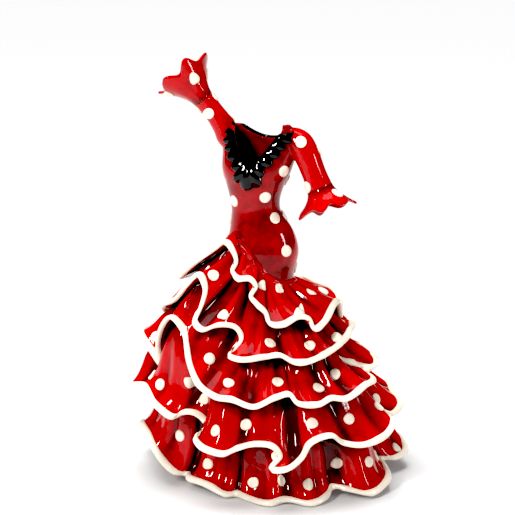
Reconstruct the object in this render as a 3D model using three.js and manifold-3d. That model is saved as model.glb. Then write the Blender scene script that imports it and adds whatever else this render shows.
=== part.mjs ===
// The dress of a flamenco dancer figurine, as a hollow shell: a close sheath with a V neck and a black frill,
// two sleeves with flared cuffs, and five gathered flounces with a bound edge, sewn round a plain underskirt.
// Millimetres, +Z up, the dress looks towards -Y and stands on the underskirt's hem at Z = 0.
import * as THREE from "three";
import { mergeVertices } from "three/addons/utils/BufferGeometryUtils.js";
import Module from "manifold-3d";

const wasm = await Module();
wasm.setup();

// Driving sizes.
const WALL = 1.4; // the cloth, cast thick as on a figurine
const GAP = 0.3; // clear space at every seam
const BINDING_WIDTH = 3.2; // the flounces' bound edge, along the cloth
const BINDING_THICK = 2.2; // and across it
const FRILL_WIDTH = 6.4; // the black frill round the neck
const FRILL_THICK = 1.5;
const FRILL_WAVE = 1.1; // how far its scallops go in and out
const FRILL_SCALLOPS = 17;
const FRILL_POINT = 0.55; // how much wider it is at the bottom of the V
const FRILL_POINT_REACH = 6; // how far from the V's bottom that reaches
const FRILL_OVERHANG = 0.6; // how far its inner edge stands over the neckline
const HEM_WIDTH = 5; // the underskirt's turned-in hem
const HEM_HEIGHT = 2.4;
const HIP_SEAM = 122; // height where the sheath ends and the underskirt begins
const ARMPIT = 206; // height where the sheath starts to close over the shoulders
const NECK_X = -4; // the middle of the shoulders
const FACING = -25; // degrees that the chest is turned from straight ahead, about +Z
const FOLD_CARRY = 0.75; // under 1: a fold reaches up towards the seam
const ARMHOLE = 5; // how far a sleeve's own hollow runs on past its end

// How finely the cloth is faceted.
const SHEATH_SIDES = 24; // facets round the sheath and the underskirt
const BODY_LEVELS = [0, 40, 80, 104, 122, 131, 139, 147, 155, 163, 171, 180, 189, 198, 206, 212, 216];
const FLOUNCE_SAMPLES = 60; // points along a flounce's edge
const FLOUNCE_BANDS = 2; // bands from its seam to its edge
const SLEEVE_SIDES = 12;
const SLEEVE_STATIONS = 7;
const CUFF_SAMPLES = 26;
const CUFF_BANDS = 2;
const FRILL_SAMPLES = FRILL_SCALLOPS * 3;

// Sizes of the boxes that part the front from the back, well clear of the cloth.
const FAR = 120;
const BELOW = -5;
const ABOVE = 240;

// Sheath and underskirt, as ellipses: centre, half width, half depth and turn about +Z in degrees.
const BODY = [
  { z: 0, x: 12, y: 2, halfWidth: 50, halfDepth: 48, turn: 0 },
  { z: 40, x: 7, y: 1, halfWidth: 36, halfDepth: 34, turn: -5 },
  { z: 80, x: 1, y: 0, halfWidth: 25, halfDepth: 23, turn: -12 },
  { z: 104, x: -2.5, y: 0, halfWidth: 19, halfDepth: 17.5, turn: -18 },
  { z: 123, x: -3.5, y: 0, halfWidth: 19.3, halfDepth: 17, turn: -20 },
  { z: 139, x: -3.4, y: 0, halfWidth: 22.3, halfDepth: 18.5, turn: -22 },
  { z: 151, x: -3.8, y: 0, halfWidth: 19.6, halfDepth: 16.4, turn: -24 },
  { z: 163, x: -6.9, y: 0, halfWidth: 15.2, halfDepth: 12.8, turn: -25 },
  { z: 170, x: -7.8, y: 0, halfWidth: 15.4, halfDepth: 12.6, turn: -25 },
  { z: 179, x: -7.6, y: -0.5, halfWidth: 17.8, halfDepth: 14.4, turn: -25 },
  { z: 188, x: -6.8, y: -1, halfWidth: 21.2, halfDepth: 16.4, turn: -25 },
  { z: 197, x: -5.4, y: -0.5, halfWidth: 22.8, halfDepth: 15, turn: -25 },
  { z: 206, x: -4.4, y: 0, halfWidth: 23.6, halfDepth: 11.5, turn: -25 },
  { z: 212, x: -4, y: 0, halfWidth: 22, halfDepth: 8, turn: -25 },
  { z: 216, x: -4, y: 0, halfWidth: 18.4, halfDepth: 4.8, turn: -25 },
];

// Half of the neck opening seen from the front and from the back: distance from the middle, and height.
const NECK_FRONT = [
  { side: 0, z: 190.5 },
  { side: 4.2, z: 195.2 },
  { side: 9.6, z: 202 },
  { side: 13.4, z: 208.5 },
  { side: 15.4, z: 213.5 },
];
const NECK_BACK = [
  { side: 0, z: 205 },
  { side: 5, z: 205.6 },
  { side: 10, z: 207.8 },
  { side: 13.6, z: 210.6 },
  { side: 15.4, z: 213.5 },
];

// Sleeves: the centreline from inside the shoulder to the cuff seam, with the sleeve's radius.
const SLEEVES = {
  sleeve_left: [
    { x: 7, y: -4, z: 204.5, radius: 6 },
    { x: 13, y: -6.5, z: 206.8, radius: 7.4 },
    { x: 18.4, y: -9.2, z: 205.2, radius: 8 },
    { x: 22.6, y: -11.3, z: 198.6, radius: 7.6 },
    { x: 26.8, y: -13.4, z: 188.2, radius: 7.2 },
    { x: 30.3, y: -15, z: 179.4, radius: 7.8 },
  ],
  sleeve_right: [
    { x: -14, y: 5, z: 202, radius: 6.6 },
    { x: -22, y: 8, z: 206, radius: 8 },
    { x: -26, y: 8.6, z: 212, radius: 7 },
    { x: -30.5, y: 9.2, z: 218.5, radius: 6.1 },
    { x: -35.4, y: 10, z: 224.7, radius: 6 },
    { x: -39, y: 10, z: 229, radius: 6.4 },
  ],
};

// Cuffs: the middle of the open edge, its radius, and its scallops' count, depth along the arm and reach.
const CUFFS = {
  cuff_left: {
    ...{ of: "sleeve_left", x: 33.6, y: -18.2, z: 168.8, radius: 16.4 },
    ...{ waves: 7, drop: 1.5, reach: 1.6, phase: 0.6 },
  },
  cuff_right: {
    ...{ of: "sleeve_right", x: -49.6, y: 16.5, z: 241.2, radius: 17.2 },
    ...{ waves: 6, drop: 1.8, reach: 1.6, phase: 0.2 },
  },
};

// Flounces, from the hip down. seam: height of the seam at the wearer's left and its lift towards the hand that
// gathers the skirt. flare: how late the cloth leaves the skirt. folds: the bound edge, one row for each crest or
// hollow, as an angle from straight ahead (towards +X), a reach from the Z axis and a height.
const LIFT_AT = -65; // degrees: where the seams are highest
const FLOUNCES = [
  {
    name: "flounce_1",
    seam: 123,
    lift: 29,
    flare: 1.6,
    folds: [
      { turn: -168, reach: 40, height: 113 },
      { turn: -150, reach: 46, height: 110 },
      { turn: -132, reach: 43, height: 117 },
      { turn: -116, reach: 50, height: 116 },
      { turn: -101, reach: 49, height: 121 },
      { turn: -84, reach: 52, height: 124 },
      { turn: -73, reach: 46, height: 134 },
      { turn: -68, reach: 36, height: 142 },
      { turn: -60, reach: 29, height: 147.5 },
      { turn: -49, reach: 27, height: 142.5 },
      { turn: -41, reach: 28.5, height: 137 },
      { turn: -41, reach: 31.5, height: 132 },
      { turn: -32, reach: 33.5, height: 129 },
      { turn: -20, reach: 31, height: 129 },
      { turn: -13, reach: 32, height: 125 },
      { turn: -16, reach: 35.5, height: 119.5 },
      { turn: -10, reach: 37, height: 115.5 },
      { turn: -2.5, reach: 37, height: 111 },
      { turn: 2, reach: 40.5, height: 105 },
      { turn: 12, reach: 41, height: 104.5 },
      { turn: 25, reach: 40.5, height: 108 },
      { turn: 33, reach: 43, height: 107 },
      { turn: 35, reach: 47.5, height: 101.5 },
      { turn: 44, reach: 47, height: 104 },
      { turn: 62, reach: 44, height: 111 },
      { turn: 80, reach: 43, height: 109 },
      { turn: 93, reach: 43.5, height: 97 },
      { turn: 108, reach: 46, height: 104 },
      { turn: 122, reach: 47, height: 107 },
      { turn: 136, reach: 43, height: 109.5 },
      { turn: 150, reach: 40, height: 113 },
      { turn: 170, reach: 45, height: 109 },
    ],
  },
  {
    name: "flounce_2",
    seam: 103,
    lift: 32,
    flare: 1.15,
    folds: [
      { turn: -171, reach: 50, height: 92 },
      { turn: -156, reach: 56, height: 88 },
      { turn: -141, reach: 51, height: 95 },
      { turn: -126, reach: 60, height: 94 },
      { turn: -112, reach: 57, height: 101 },
      { turn: -101, reach: 62, height: 98 },
      { turn: -89, reach: 62.5, height: 105 },
      { turn: -69, reach: 58, height: 115 },
      { turn: -62, reach: 54, height: 124.5 },
      { turn: -57, reach: 48.5, height: 131 },
      { turn: -51.5, reach: 47, height: 124 },
      { turn: -48.5, reach: 52, height: 114 },
      { turn: -47, reach: 58, height: 105.5 },
      { turn: -42, reach: 57, height: 102 },
      { turn: -36, reach: 50, height: 104 },
      { turn: -27, reach: 42, height: 102 },
      { turn: -21.5, reach: 42, height: 96 },
      { turn: -23.5, reach: 48, height: 91 },
      { turn: -25, reach: 54, height: 88.5 },
      { turn: -17, reach: 55, height: 87 },
      { turn: -2, reach: 49, height: 87.5 },
      { turn: 8, reach: 47.5, height: 88 },
      { turn: 17, reach: 52, height: 84.5 },
      { turn: 24, reach: 54, height: 84.5 },
      { turn: 37, reach: 54, height: 87 },
      { turn: 56, reach: 52, height: 90 },
      { turn: 75, reach: 51.5, height: 94 },
      { turn: 92, reach: 51, height: 93 },
      { turn: 108, reach: 54, height: 88 },
      { turn: 122, reach: 51, height: 92 },
      { turn: 138, reach: 57, height: 88 },
      { turn: 154, reach: 51, height: 93 },
      { turn: 172, reach: 55, height: 88 },
    ],
  },
  {
    name: "flounce_3",
    seam: 84,
    lift: 26,
    flare: 1.1,
    folds: [
      { turn: -172, reach: 64, height: 66 },
      { turn: -158, reach: 69, height: 62 },
      { turn: -144, reach: 63, height: 69 },
      { turn: -130, reach: 72, height: 68 },
      { turn: -117, reach: 69, height: 77 },
      { turn: -105, reach: 74, height: 83 },
      { turn: -91, reach: 77, height: 86 },
      { turn: -84, reach: 71, height: 79 },
      { turn: -79, reach: 65, height: 71 },
      { turn: -75.5, reach: 68, height: 85 },
      { turn: -68, reach: 67, height: 100 },
      { turn: -62, reach: 64, height: 106 },
      { turn: -57, reach: 59.5, height: 99 },
      { turn: -50, reach: 62, height: 90.5 },
      { turn: -43.5, reach: 66, height: 82 },
      { turn: -35, reach: 70, height: 73.5 },
      { turn: -26, reach: 68, height: 67 },
      { turn: -19, reach: 64.5, height: 65.5 },
      { turn: -7.5, reach: 64, height: 62 },
      { turn: 4, reach: 59, height: 66 },
      { turn: 12, reach: 58.5, height: 67.5 },
      { turn: 16, reach: 63, height: 63 },
      { turn: 26, reach: 66, height: 62 },
      { turn: 35, reach: 64, height: 63.5 },
      { turn: 42, reach: 67, height: 62 },
      { turn: 57, reach: 68, height: 66 },
      { turn: 71, reach: 66.5, height: 65 },
      { turn: 73, reach: 61, height: 68 },
      { turn: 84, reach: 66, height: 69.5 },
      { turn: 95, reach: 64, height: 71 },
      { turn: 104, reach: 69, height: 66 },
      { turn: 118, reach: 66, height: 70 },
      { turn: 132, reach: 71, height: 64 },
      { turn: 147, reach: 65, height: 69 },
      { turn: 160, reach: 70, height: 62 },
      { turn: 174, reach: 65, height: 67 },
    ],
  },
  {
    name: "flounce_4",
    seam: 60,
    lift: 20,
    flare: 1.05,
    folds: [
      { turn: -174, reach: 74, height: 39 },
      { turn: -160, reach: 80, height: 33 },
      { turn: -147, reach: 74, height: 41 },
      { turn: -134, reach: 82, height: 38 },
      { turn: -121, reach: 77, height: 46 },
      { turn: -109, reach: 83, height: 44 },
      { turn: -99, reach: 79, height: 51 },
      { turn: -89, reach: 84, height: 54.5 },
      { turn: -76, reach: 77, height: 59.5 },
      { turn: -62, reach: 75.5, height: 53.5 },
      { turn: -53, reach: 70, height: 48 },
      { turn: -51, reach: 64.5, height: 50.5 },
      { turn: -46, reach: 60, height: 50.5 },
      { turn: -41, reach: 57, height: 46 },
      { turn: -38, reach: 61, height: 42.5 },
      { turn: -38, reach: 69, height: 40 },
      { turn: -31, reach: 74, height: 37 },
      { turn: -21, reach: 72, height: 34.5 },
      { turn: -15.5, reach: 66.5, height: 37 },
      { turn: -7, reach: 66, height: 40 },
      { turn: 2, reach: 66.5, height: 39 },
      { turn: 6, reach: 66.5, height: 33 },
      { turn: 1.5, reach: 71, height: 26.5 },
      { turn: 8, reach: 73, height: 27 },
      { turn: 16, reach: 68.5, height: 31.5 },
      { turn: 20, reach: 69.5, height: 40 },
      { turn: 29, reach: 74, height: 45 },
      { turn: 37, reach: 73, height: 38 },
      { turn: 45, reach: 78, height: 35.5 },
      { turn: 57, reach: 81, height: 36.5 },
      { turn: 69, reach: 80, height: 40 },
      { turn: 74, reach: 74, height: 41.5 },
      { turn: 79, reach: 68, height: 42.5 },
      { turn: 86, reach: 76, height: 37 },
      { turn: 94, reach: 82, height: 39 },
      { turn: 104, reach: 80, height: 42 },
      { turn: 113, reach: 83, height: 43 },
      { turn: 125, reach: 78, height: 44 },
      { turn: 137, reach: 84, height: 37 },
      { turn: 151, reach: 78, height: 41 },
      { turn: 164, reach: 83, height: 34 },
    ],
  },
  {
    name: "flounce_5",
    seam: 36,
    lift: 14,
    flare: 1,
    folds: [
      { turn: -176, reach: 77, height: 4.5 },
      { turn: -163, reach: 83, height: 3 },
      { turn: -150, reach: 76, height: 8 },
      { turn: -137, reach: 83, height: 7 },
      { turn: -124, reach: 77, height: 15 },
      { turn: -112, reach: 82, height: 15 },
      { turn: -101, reach: 77, height: 24 },
      { turn: -88, reach: 77.5, height: 30 },
      { turn: -77, reach: 74.5, height: 28 },
      { turn: -68, reach: 72, height: 20 },
      { turn: -61.5, reach: 63, height: 8 },
      { turn: -59, reach: 56.5, height: 7 },
      { turn: -53, reach: 59, height: 7 },
      { turn: -38, reach: 58, height: 6.5 },
      { turn: -25, reach: 57.5, height: 3 },
      { turn: -20.5, reach: 53.5, height: 3 },
      { turn: -14, reach: 56.5, height: 2.6 },
      { turn: 1, reach: 64, height: 2.6 },
      { turn: 10, reach: 61, height: 3.5 },
      { turn: 21, reach: 69, height: 2.6 },
      { turn: 32, reach: 66, height: 4.5 },
      { turn: 38, reach: 61.5, height: 6.5 },
      { turn: 42, reach: 68, height: 6.5 },
      { turn: 49, reach: 80, height: 4 },
      { turn: 62, reach: 81, height: 7.5 },
      { turn: 73, reach: 74, height: 9.5 },
      { turn: 79, reach: 70, height: 10.5 },
      { turn: 83, reach: 78, height: 9.5 },
      { turn: 91, reach: 85, height: 11 },
      { turn: 102, reach: 83, height: 15 },
      { turn: 113, reach: 79, height: 9 },
      { turn: 125, reach: 84, height: 4 },
      { turn: 138, reach: 77, height: 5 },
      { turn: 152, reach: 83, height: 3 },
      { turn: 167, reach: 77, height: 4 },
    ],
  },
];

const RED = "#b3060f"; // glossy enamel
const IVORY = "#efe6d6";
const BLACK = "#0b0b0d";

const radians = (degrees) => (degrees * Math.PI) / 180;
const lerp = (a, b, t) => a + (b - a) * t;
const vec = (x, y, z) => new THREE.Vector3(x, y, z);

// A smooth curve through a table's named column, rows placed by the column `key`.
function column(rows, key, name, at) {
  const last = rows.length - 1;
  if (at <= rows[0][key]) return rows[0][name];
  if (at >= rows[last][key]) return rows[last][name];
  let i = 0;
  while (rows[i + 1][key] < at) i += 1;
  const slope = (k) => {
    const a = rows[Math.max(k - 1, 0)];
    const b = rows[Math.min(k + 1, last)];
    return (b[name] - a[name]) / (b[key] - a[key]);
  };
  const span = rows[i + 1][key] - rows[i][key];
  const t = (at - rows[i][key]) / span;
  const t2 = t * t;
  const t3 = t2 * t;
  return (
    (2 * t3 - 3 * t2 + 1) * rows[i][name] +
    (t3 - 2 * t2 + t) * span * slope(i) +
    (3 * t2 - 2 * t3) * rows[i + 1][name] +
    (t3 - t2) * span * slope(i + 1)
  );
}

// The body's ellipse at a height, made smaller or larger by `grow`.
function section(z, grow = 0) {
  const at = (name) => column(BODY, "z", name, z);
  return {
    z,
    x: at("x"),
    y: at("y"),
    halfWidth: at("halfWidth") + grow,
    halfDepth: at("halfDepth") + grow,
    turn: radians(at("turn")),
  };
}

// The point of a section at an angle from straight ahead, towards +X.
function onSection(s, degrees) {
  const a = radians(degrees) - s.turn; // the angle in the section's own frame
  const reach = 1 / Math.hypot(Math.sin(a) / s.halfWidth, Math.cos(a) / s.halfDepth);
  return vec(s.x + reach * Math.sin(radians(degrees)), s.y - reach * Math.cos(radians(degrees)), s.z);
}

// A closed triangle mesh from points and faces.
function meshOf(points, faces) {
  const geometry = new THREE.BufferGeometry();
  geometry.setAttribute("position", new THREE.Float32BufferAttribute(points.flatMap((p) => [p.x, p.y, p.z]), 3));
  geometry.setIndex(faces.flat());
  return geometry;
}

// A solid through rings of equal count, with flat caps, rings running from one end to the other.
function loft(rings) {
  const n = rings[0].length;
  const points = rings.flat();
  const faces = [];
  for (let r = 0; r + 1 < rings.length; r += 1) {
    for (let i = 0; i < n; i += 1) {
      const a = r * n + i;
      const b = r * n + ((i + 1) % n);
      faces.push([a, b, b + n], [a, b + n, a + n]);
    }
  }
  const cap = (ring, start, up) => {
    const middle = points.length;
    points.push(ring.reduce((sum, p) => sum.add(p), vec(0, 0, 0)).divideScalar(n));
    for (let i = 0; i < n; i += 1) {
      const pair = [start + i, start + ((i + 1) % n)];
      faces.push(up ? [pair[0], pair[1], middle] : [pair[1], pair[0], middle]);
    }
  };
  cap(rings[0], 0, false);
  cap(rings[rings.length - 1], (rings.length - 1) * n, true);
  return meshOf(points, faces);
}

// A wall of cloth round a closed edge. at(i, t) is the outer face: i along the edge, t from 0 at the seam to 1.
function wall(at, samples, bands, thick) {
  const outer = [];
  for (let i = 0; i < samples; i += 1) {
    outer.push(Array.from({ length: bands + 1 }, (_, j) => at(i, j / bands)));
  }
  const inner = outer.map((line, i) =>
    line.map((p, j) => {
      const along = vec(0, 0, 0).subVectors(outer[(i + 1) % samples][j], outer[(i + samples - 1) % samples][j]);
      const down = vec(0, 0, 0).subVectors(line[Math.min(j + 1, bands)], line[Math.max(j - 1, 0)]);
      return p.clone().addScaledVector(along.cross(down).normalize(), thick);
    }),
  );
  const points = [...outer.flat(), ...inner.flat()];
  const id = (side, i, j) => side * samples * (bands + 1) + (i % samples) * (bands + 1) + j;
  const faces = [];
  for (let i = 0; i < samples; i += 1) {
    for (let j = 0; j < bands; j += 1) {
      const quad = (side) => [id(side, i, j), id(side, i, j + 1), id(side, i + 1, j + 1), id(side, i + 1, j)];
      const [a, b, c, d] = quad(0);
      faces.push([a, b, c], [a, c, d]);
      const [e, f, g, h] = quad(1);
      faces.push([e, g, f], [e, h, g]);
    }
    const rim = (j, flip) => {
      const [a, b, c, d] = [id(0, i, j), id(0, i + 1, j), id(1, i + 1, j), id(1, i, j)];
      faces.push(...(flip ? [[a, c, b], [a, d, c]] : [[a, b, c], [a, c, d]]));
    };
    rim(0, false);
    rim(bands, true);
  }
  return meshOf(points, faces);
}

// A closed ring through sections of equal count, such as a binding's.
function ringOfSections(sections) {
  const n = sections[0].length;
  const faces = [];
  for (let i = 0; i < sections.length; i += 1) {
    for (let k = 0; k < n; k += 1) {
      const a = n * i + k;
      const b = n * i + ((k + 1) % n);
      const c = n * ((i + 1) % sections.length) + ((k + 1) % n);
      const d = n * ((i + 1) % sections.length) + k;
      faces.push([a, c, b], [a, d, c]);
    }
  }
  return meshOf(sections.flat(), faces);
}

// three.js geometry to a manifold-3d solid and back.
function solid(geometry) {
  const bare = geometry.clone();
  Object.keys(bare.attributes)
    .filter((name) => name !== "position")
    .forEach((name) => bare.deleteAttribute(name));
  const merged = mergeVertices(bare, 1e-4);
  const mesh = new wasm.Mesh({
    numProp: 3,
    vertProperties: merged.attributes.position.array,
    triVerts: new Uint32Array(merged.index.array),
  });
  return new wasm.Manifold(mesh);
}

function geometryOf(made) {
  const mesh = made.getMesh();
  const geometry = new THREE.BufferGeometry();
  geometry.setAttribute("position", new THREE.BufferAttribute(mesh.vertProperties, 3));
  geometry.setIndex(new THREE.BufferAttribute(mesh.triVerts, 1));
  return geometry;
}

const dress = new THREE.Group();
function add(name, geometry, colour) {
  const material = new THREE.MeshStandardMaterial({ color: colour, roughness: 0.15, metalness: 0 });
  const mesh = new THREE.Mesh(geometry, material);
  mesh.name = name;
  dress.add(mesh);
}

// ---- sleeves and cuffs ----

// A frame at a station of a sleeve: its middle, its direction and two axes across it.
function station(rows, t) {
  const keyed = rows.map((row, i) => ({ ...row, i: i / (rows.length - 1) }));
  const at = (u) => vec(...["x", "y", "z"].map((name) => column(keyed, "i", name, u)));
  const step = 0.01;
  const along = at(Math.min(t + step, 1)).sub(at(Math.max(t - step, 0))).normalize();
  const across = vec(0, -1, 0).cross(along).normalize();
  return { middle: at(t), along, across, up: along.clone().cross(across), radius: column(keyed, "i", "radius", t) };
}

function sleeveRing(frame, radius) {
  return Array.from({ length: SLEEVE_SIDES }, (_, i) => {
    const a = (2 * Math.PI * i) / SLEEVE_SIDES;
    return frame.middle
      .clone()
      .addScaledVector(frame.across, radius * Math.cos(a))
      .addScaledVector(frame.up, radius * Math.sin(a));
  });
}

// The sleeve as a solid rod, its radius changed by `grow`, longer by `more` at the cuff end.
function sleeveRod(rows, grow, more = 0) {
  const frames = Array.from({ length: SLEEVE_STATIONS }, (_, i) => station(rows, i / (SLEEVE_STATIONS - 1)));
  if (more) {
    const end = frames[SLEEVE_STATIONS - 1];
    frames.push({ ...end, middle: end.middle.clone().addScaledVector(end.along, more) });
  }
  return solid(loft(frames.map((frame) => sleeveRing(frame, frame.radius + grow))));
}

const lerpAxis = (a, b, t) => a.clone().lerp(b, t).normalize();

// A cuff flares from the sleeve's end to its scalloped edge.
function cuffSheet(cuff) {
  const end = station(SLEEVES[cuff.of], 1);
  const middle = vec(cuff.x, cuff.y, cuff.z);
  const along = middle.clone().sub(end.middle).normalize();
  const across = vec(0, -1, 0).cross(along).normalize();
  const up = along.clone().cross(across);
  return (share, t) => {
    const a = 2 * Math.PI * share;
    const wave = Math.cos(cuff.waves * a + cuff.phase) * t;
    const radius = lerp(end.radius, cuff.radius, t ** 1.5) + cuff.reach * wave;
    const start = end.middle.clone().addScaledVector(end.along, GAP);
    return start
      .lerp(middle, t)
      .addScaledVector(along, cuff.drop * wave)
      .addScaledVector(lerpAxis(end.across, across, t), radius * Math.cos(a))
      .addScaledVector(lerpAxis(end.up, up, t), radius * Math.sin(a));
  };
}

for (const [name, cuff] of Object.entries(CUFFS)) {
  const at = cuffSheet(cuff);
  add(name, wall((i, t) => at(-i / CUFF_SAMPLES, t), CUFF_SAMPLES, CUFF_BANDS, WALL), RED);
}

// ---- sheath and underskirt ----

const SIDE_TURN = radians(FACING);

function bodyRing(z, grow, lift = 0) {
  const s = section(z, grow);
  s.z += lift;
  return Array.from({ length: SHEATH_SIDES }, (_, i) => onSection(s, (360 * i) / SHEATH_SIDES));
}

// The whole body's outer form grown by `grow`; a smaller one stops short of the shoulders by the same amount and
// leaves a turned-in hem at the foot, wide enough to stand on.
function bodySolid(grow) {
  const top = BODY_LEVELS[BODY_LEVELS.length - 1];
  const rings = BODY_LEVELS.map((z) => bodyRing(z, grow, z > ARMPIT ? (grow * (z - ARMPIT)) / (top - ARMPIT) : 0));
  if (grow < 0) {
    const hem = [bodyRing(0, -HEM_WIDTH, BELOW), bodyRing(HEM_HEIGHT, -HEM_WIDTH), bodyRing(HEM_HEIGHT, grow)];
    rings.splice(0, 1, ...hem);
  }
  return solid(loft(rings));
}

// A box in the chest's own frame, whose X runs to the wearer's left and -Y straight out of the chest.
function chestBox(low, high) {
  const size = high.map((h, i) => h - low[i]);
  const box = new THREE.BoxGeometry(...size);
  box.translate(...low.map((l, i) => l + size[i] / 2));
  box.rotateZ(SIDE_TURN);
  box.translate(NECK_X, 0, 0);
  return solid(box);
}

// The neck opening: the outline of one side of the neck pushed through the chest's front or back.
function neckCut(rows, front) {
  const half = rows.map((row) => [row.side, row.z]);
  half.push([half[half.length - 1][0], ABOVE]);
  const outline = [...half, ...half.slice(1).reverse().map(([side, z]) => [-side, z])];
  const shape = new THREE.Shape(outline.map(([side, z]) => new THREE.Vector2(side, z)));
  const cut = new THREE.ExtrudeGeometry(shape, { depth: FAR, bevelEnabled: false });
  cut.rotateX(Math.PI / 2); // the outline's height is now +Z and the push is along -Y
  if (!front) cut.translate(0, FAR, 0);
  cut.rotateZ(SIDE_TURN);
  cut.translate(NECK_X, 0, 0);
  return solid(cut);
}

const outerBody = bodySolid(0);
const innerBody = bodySolid(-WALL);
let shell = outerBody.subtract(innerBody).subtract(neckCut(NECK_FRONT, true)).subtract(neckCut(NECK_BACK, false));
for (const rows of Object.values(SLEEVES)) shell = shell.subtract(sleeveRod(rows, -WALL, ARMHOLE));
const frontHalf = chestBox([-FAR, -FAR, BELOW], [FAR, -GAP / 2, ABOVE]);
const backHalf = chestBox([-FAR, GAP / 2, BELOW], [FAR, FAR, ABOVE]);
const sheathPart = chestBox([-FAR, -FAR, HIP_SEAM], [FAR, FAR, ABOVE]);
const skirtPart = chestBox([-FAR, -FAR, BELOW], [FAR, FAR, HIP_SEAM - GAP]);
add("bodice_front", geometryOf(shell.intersect(frontHalf).intersect(sheathPart)), RED);
add("bodice_back", geometryOf(shell.intersect(backHalf).intersect(sheathPart)), RED);
add("skirt_front", geometryOf(shell.intersect(frontHalf).intersect(skirtPart)), RED);
add("skirt_back", geometryOf(shell.intersect(backHalf).intersect(skirtPart)), RED);

// ---- flounces ----

// The bound edge as a closed smooth curve through its folds, sampled evenly by length.
function edgeCurve(folds) {
  const corner = ({ turn, reach, height }) =>
    vec(reach * Math.sin(radians(turn)), -reach * Math.cos(radians(turn)), height);
  return new THREE.CatmullRomCurve3(folds.map(corner), true, "centripetal");
}

const angleOf = (p) => (Math.atan2(p.x, -p.y) * 180) / Math.PI;

// The angle of each sample's seam point: the edge's own angles, evened out so that they never turn back.
function seamAngles(points) {
  const n = points.length;
  const first = angleOf(points[0]);
  const angles = [first];
  for (let i = 1; i < n; i += 1) {
    const step = ((angleOf(points[i]) - angles[i - 1] + 540) % 360) - 180;
    angles.push(angles[i - 1] + step);
  }
  const offsets = angles.map((a, i) => a - first - (360 * i) / n);
  const reach = Math.round(n / 10); // how many neighbours it is evened over
  return offsets.map((_, i) => {
    let sum = 0;
    let weight = 0;
    for (let k = -reach; k <= reach; k += 1) {
      const w = 1 - Math.abs(k) / (reach + 1);
      sum += w * offsets[(i + k + n) % n];
      weight += w;
    }
    return first + (360 * i) / n + sum / weight;
  });
}

function seamPoint(flounce, degrees) {
  const share = ((1 + Math.cos(radians(degrees - LIFT_AT))) / 2) ** 3;
  return onSection(section(flounce.seam + flounce.lift * share, GAP + WALL), degrees);
}

// A ring of points evened out over `reach` neighbours to each side.
function evened(points, reach) {
  const n = points.length;
  return points.map((_, i) => {
    const sum = vec(0, 0, 0);
    let weight = 0;
    for (let k = -reach; k <= reach; k += 1) {
      const w = 1 - Math.abs(k) / (reach + 1);
      sum.addScaledVector(points[(i + k + n) % n], w);
      weight += w;
    }
    return sum.divideScalar(weight);
  });
}

// The cloth of a flounce: outer face at sample i and share t of the way from the seam to the bound edge. Its folds
// start soon below the seam, and the cloth between them runs evenly out to the edge.
function flounceSheet(flounce, samples) {
  const curve = edgeCurve(flounce.folds);
  const edge = Array.from({ length: samples }, (_, i) => curve.getPointAt(i / samples));
  const even = evened(edge, Math.round(samples / 14));
  const seam = seamAngles(edge).map((a) => seamPoint(flounce, a));
  return (i, t) => {
    const out = t ** flounce.flare;
    const fold = t ** FOLD_CARRY;
    const middle = vec(lerp(seam[i].x, even[i].x, out), lerp(seam[i].y, even[i].y, out), lerp(seam[i].z, even[i].z, t));
    return middle.addScaledVector(edge[i].clone().sub(even[i]), fold);
  };
}

function bindingOf(at, samples) {
  const half = [BINDING_WIDTH / 2, BINDING_THICK / 2];
  const rings = Array.from({ length: samples }, (_, i) => {
    const middle = at(i, 1);
    const down = middle.clone().sub(at(i, 0.9)).normalize();
    const along = at((i + 1) % samples, 1).sub(at((i + samples - 1) % samples, 1));
    const out = along.cross(down).normalize().negate();
    middle.addScaledVector(out, -WALL / 2);
    return [[-1, -1], [1, -1], [1, 1], [-1, 1]].map(([u, v]) =>
      middle.clone().addScaledVector(down, u * half[0]).addScaledVector(out, v * half[1]),
    );
  });
  return ringOfSections(rings);
}

for (const flounce of FLOUNCES) {
  const at = flounceSheet(flounce, FLOUNCE_SAMPLES);
  const room = BINDING_WIDTH / 2 + 2 * GAP; // folds bring the two closer
  const step = 0.05; // a short piece of the way, over which the cloth's length is measured
  const stop = (i) => 1 - (step * room) / at(i, 1).distanceTo(at(i, 1 - step));
  const cloth = wall((i, t) => at(i, t * stop(i)), FLOUNCE_SAMPLES, FLOUNCE_BANDS, WALL);
  add(flounce.name, cloth, RED);
  add(flounce.name.replace("flounce", "binding"), bindingOf(at, FLOUNCE_SAMPLES), IVORY);
}

// ---- neck frill ----

// How far outside the body a point is, in units where the surface is 0, and the way out.
function bodyField(p) {
  const value = (q) => {
    const s = section(q.z);
    const x = q.x - s.x;
    const y = q.y - s.y;
    const side = x * Math.cos(s.turn) + y * Math.sin(s.turn);
    const deep = -x * Math.sin(s.turn) + y * Math.cos(s.turn);
    return Math.hypot(side / s.halfWidth, deep / s.halfDepth) - 1;
  };
  const h = 0.05;
  const here = value(p);
  const slope = vec(
    value(vec(p.x + h, p.y, p.z)) - here,
    value(vec(p.x, p.y + h, p.z)) - here,
    value(vec(p.x, p.y, p.z + h)) - here,
  ).divideScalar(h);
  return { here, slope };
}

// The nearest point of the body's surface, and the surface's normal there.
function ontoBody(point) {
  const p = point.clone();
  for (let i = 0; i < 8; i += 1) {
    const { here, slope } = bodyField(p);
    p.addScaledVector(slope, -here / slope.lengthSq());
  }
  return { p, normal: bodyField(p).slope.normalize() };
}

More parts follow.
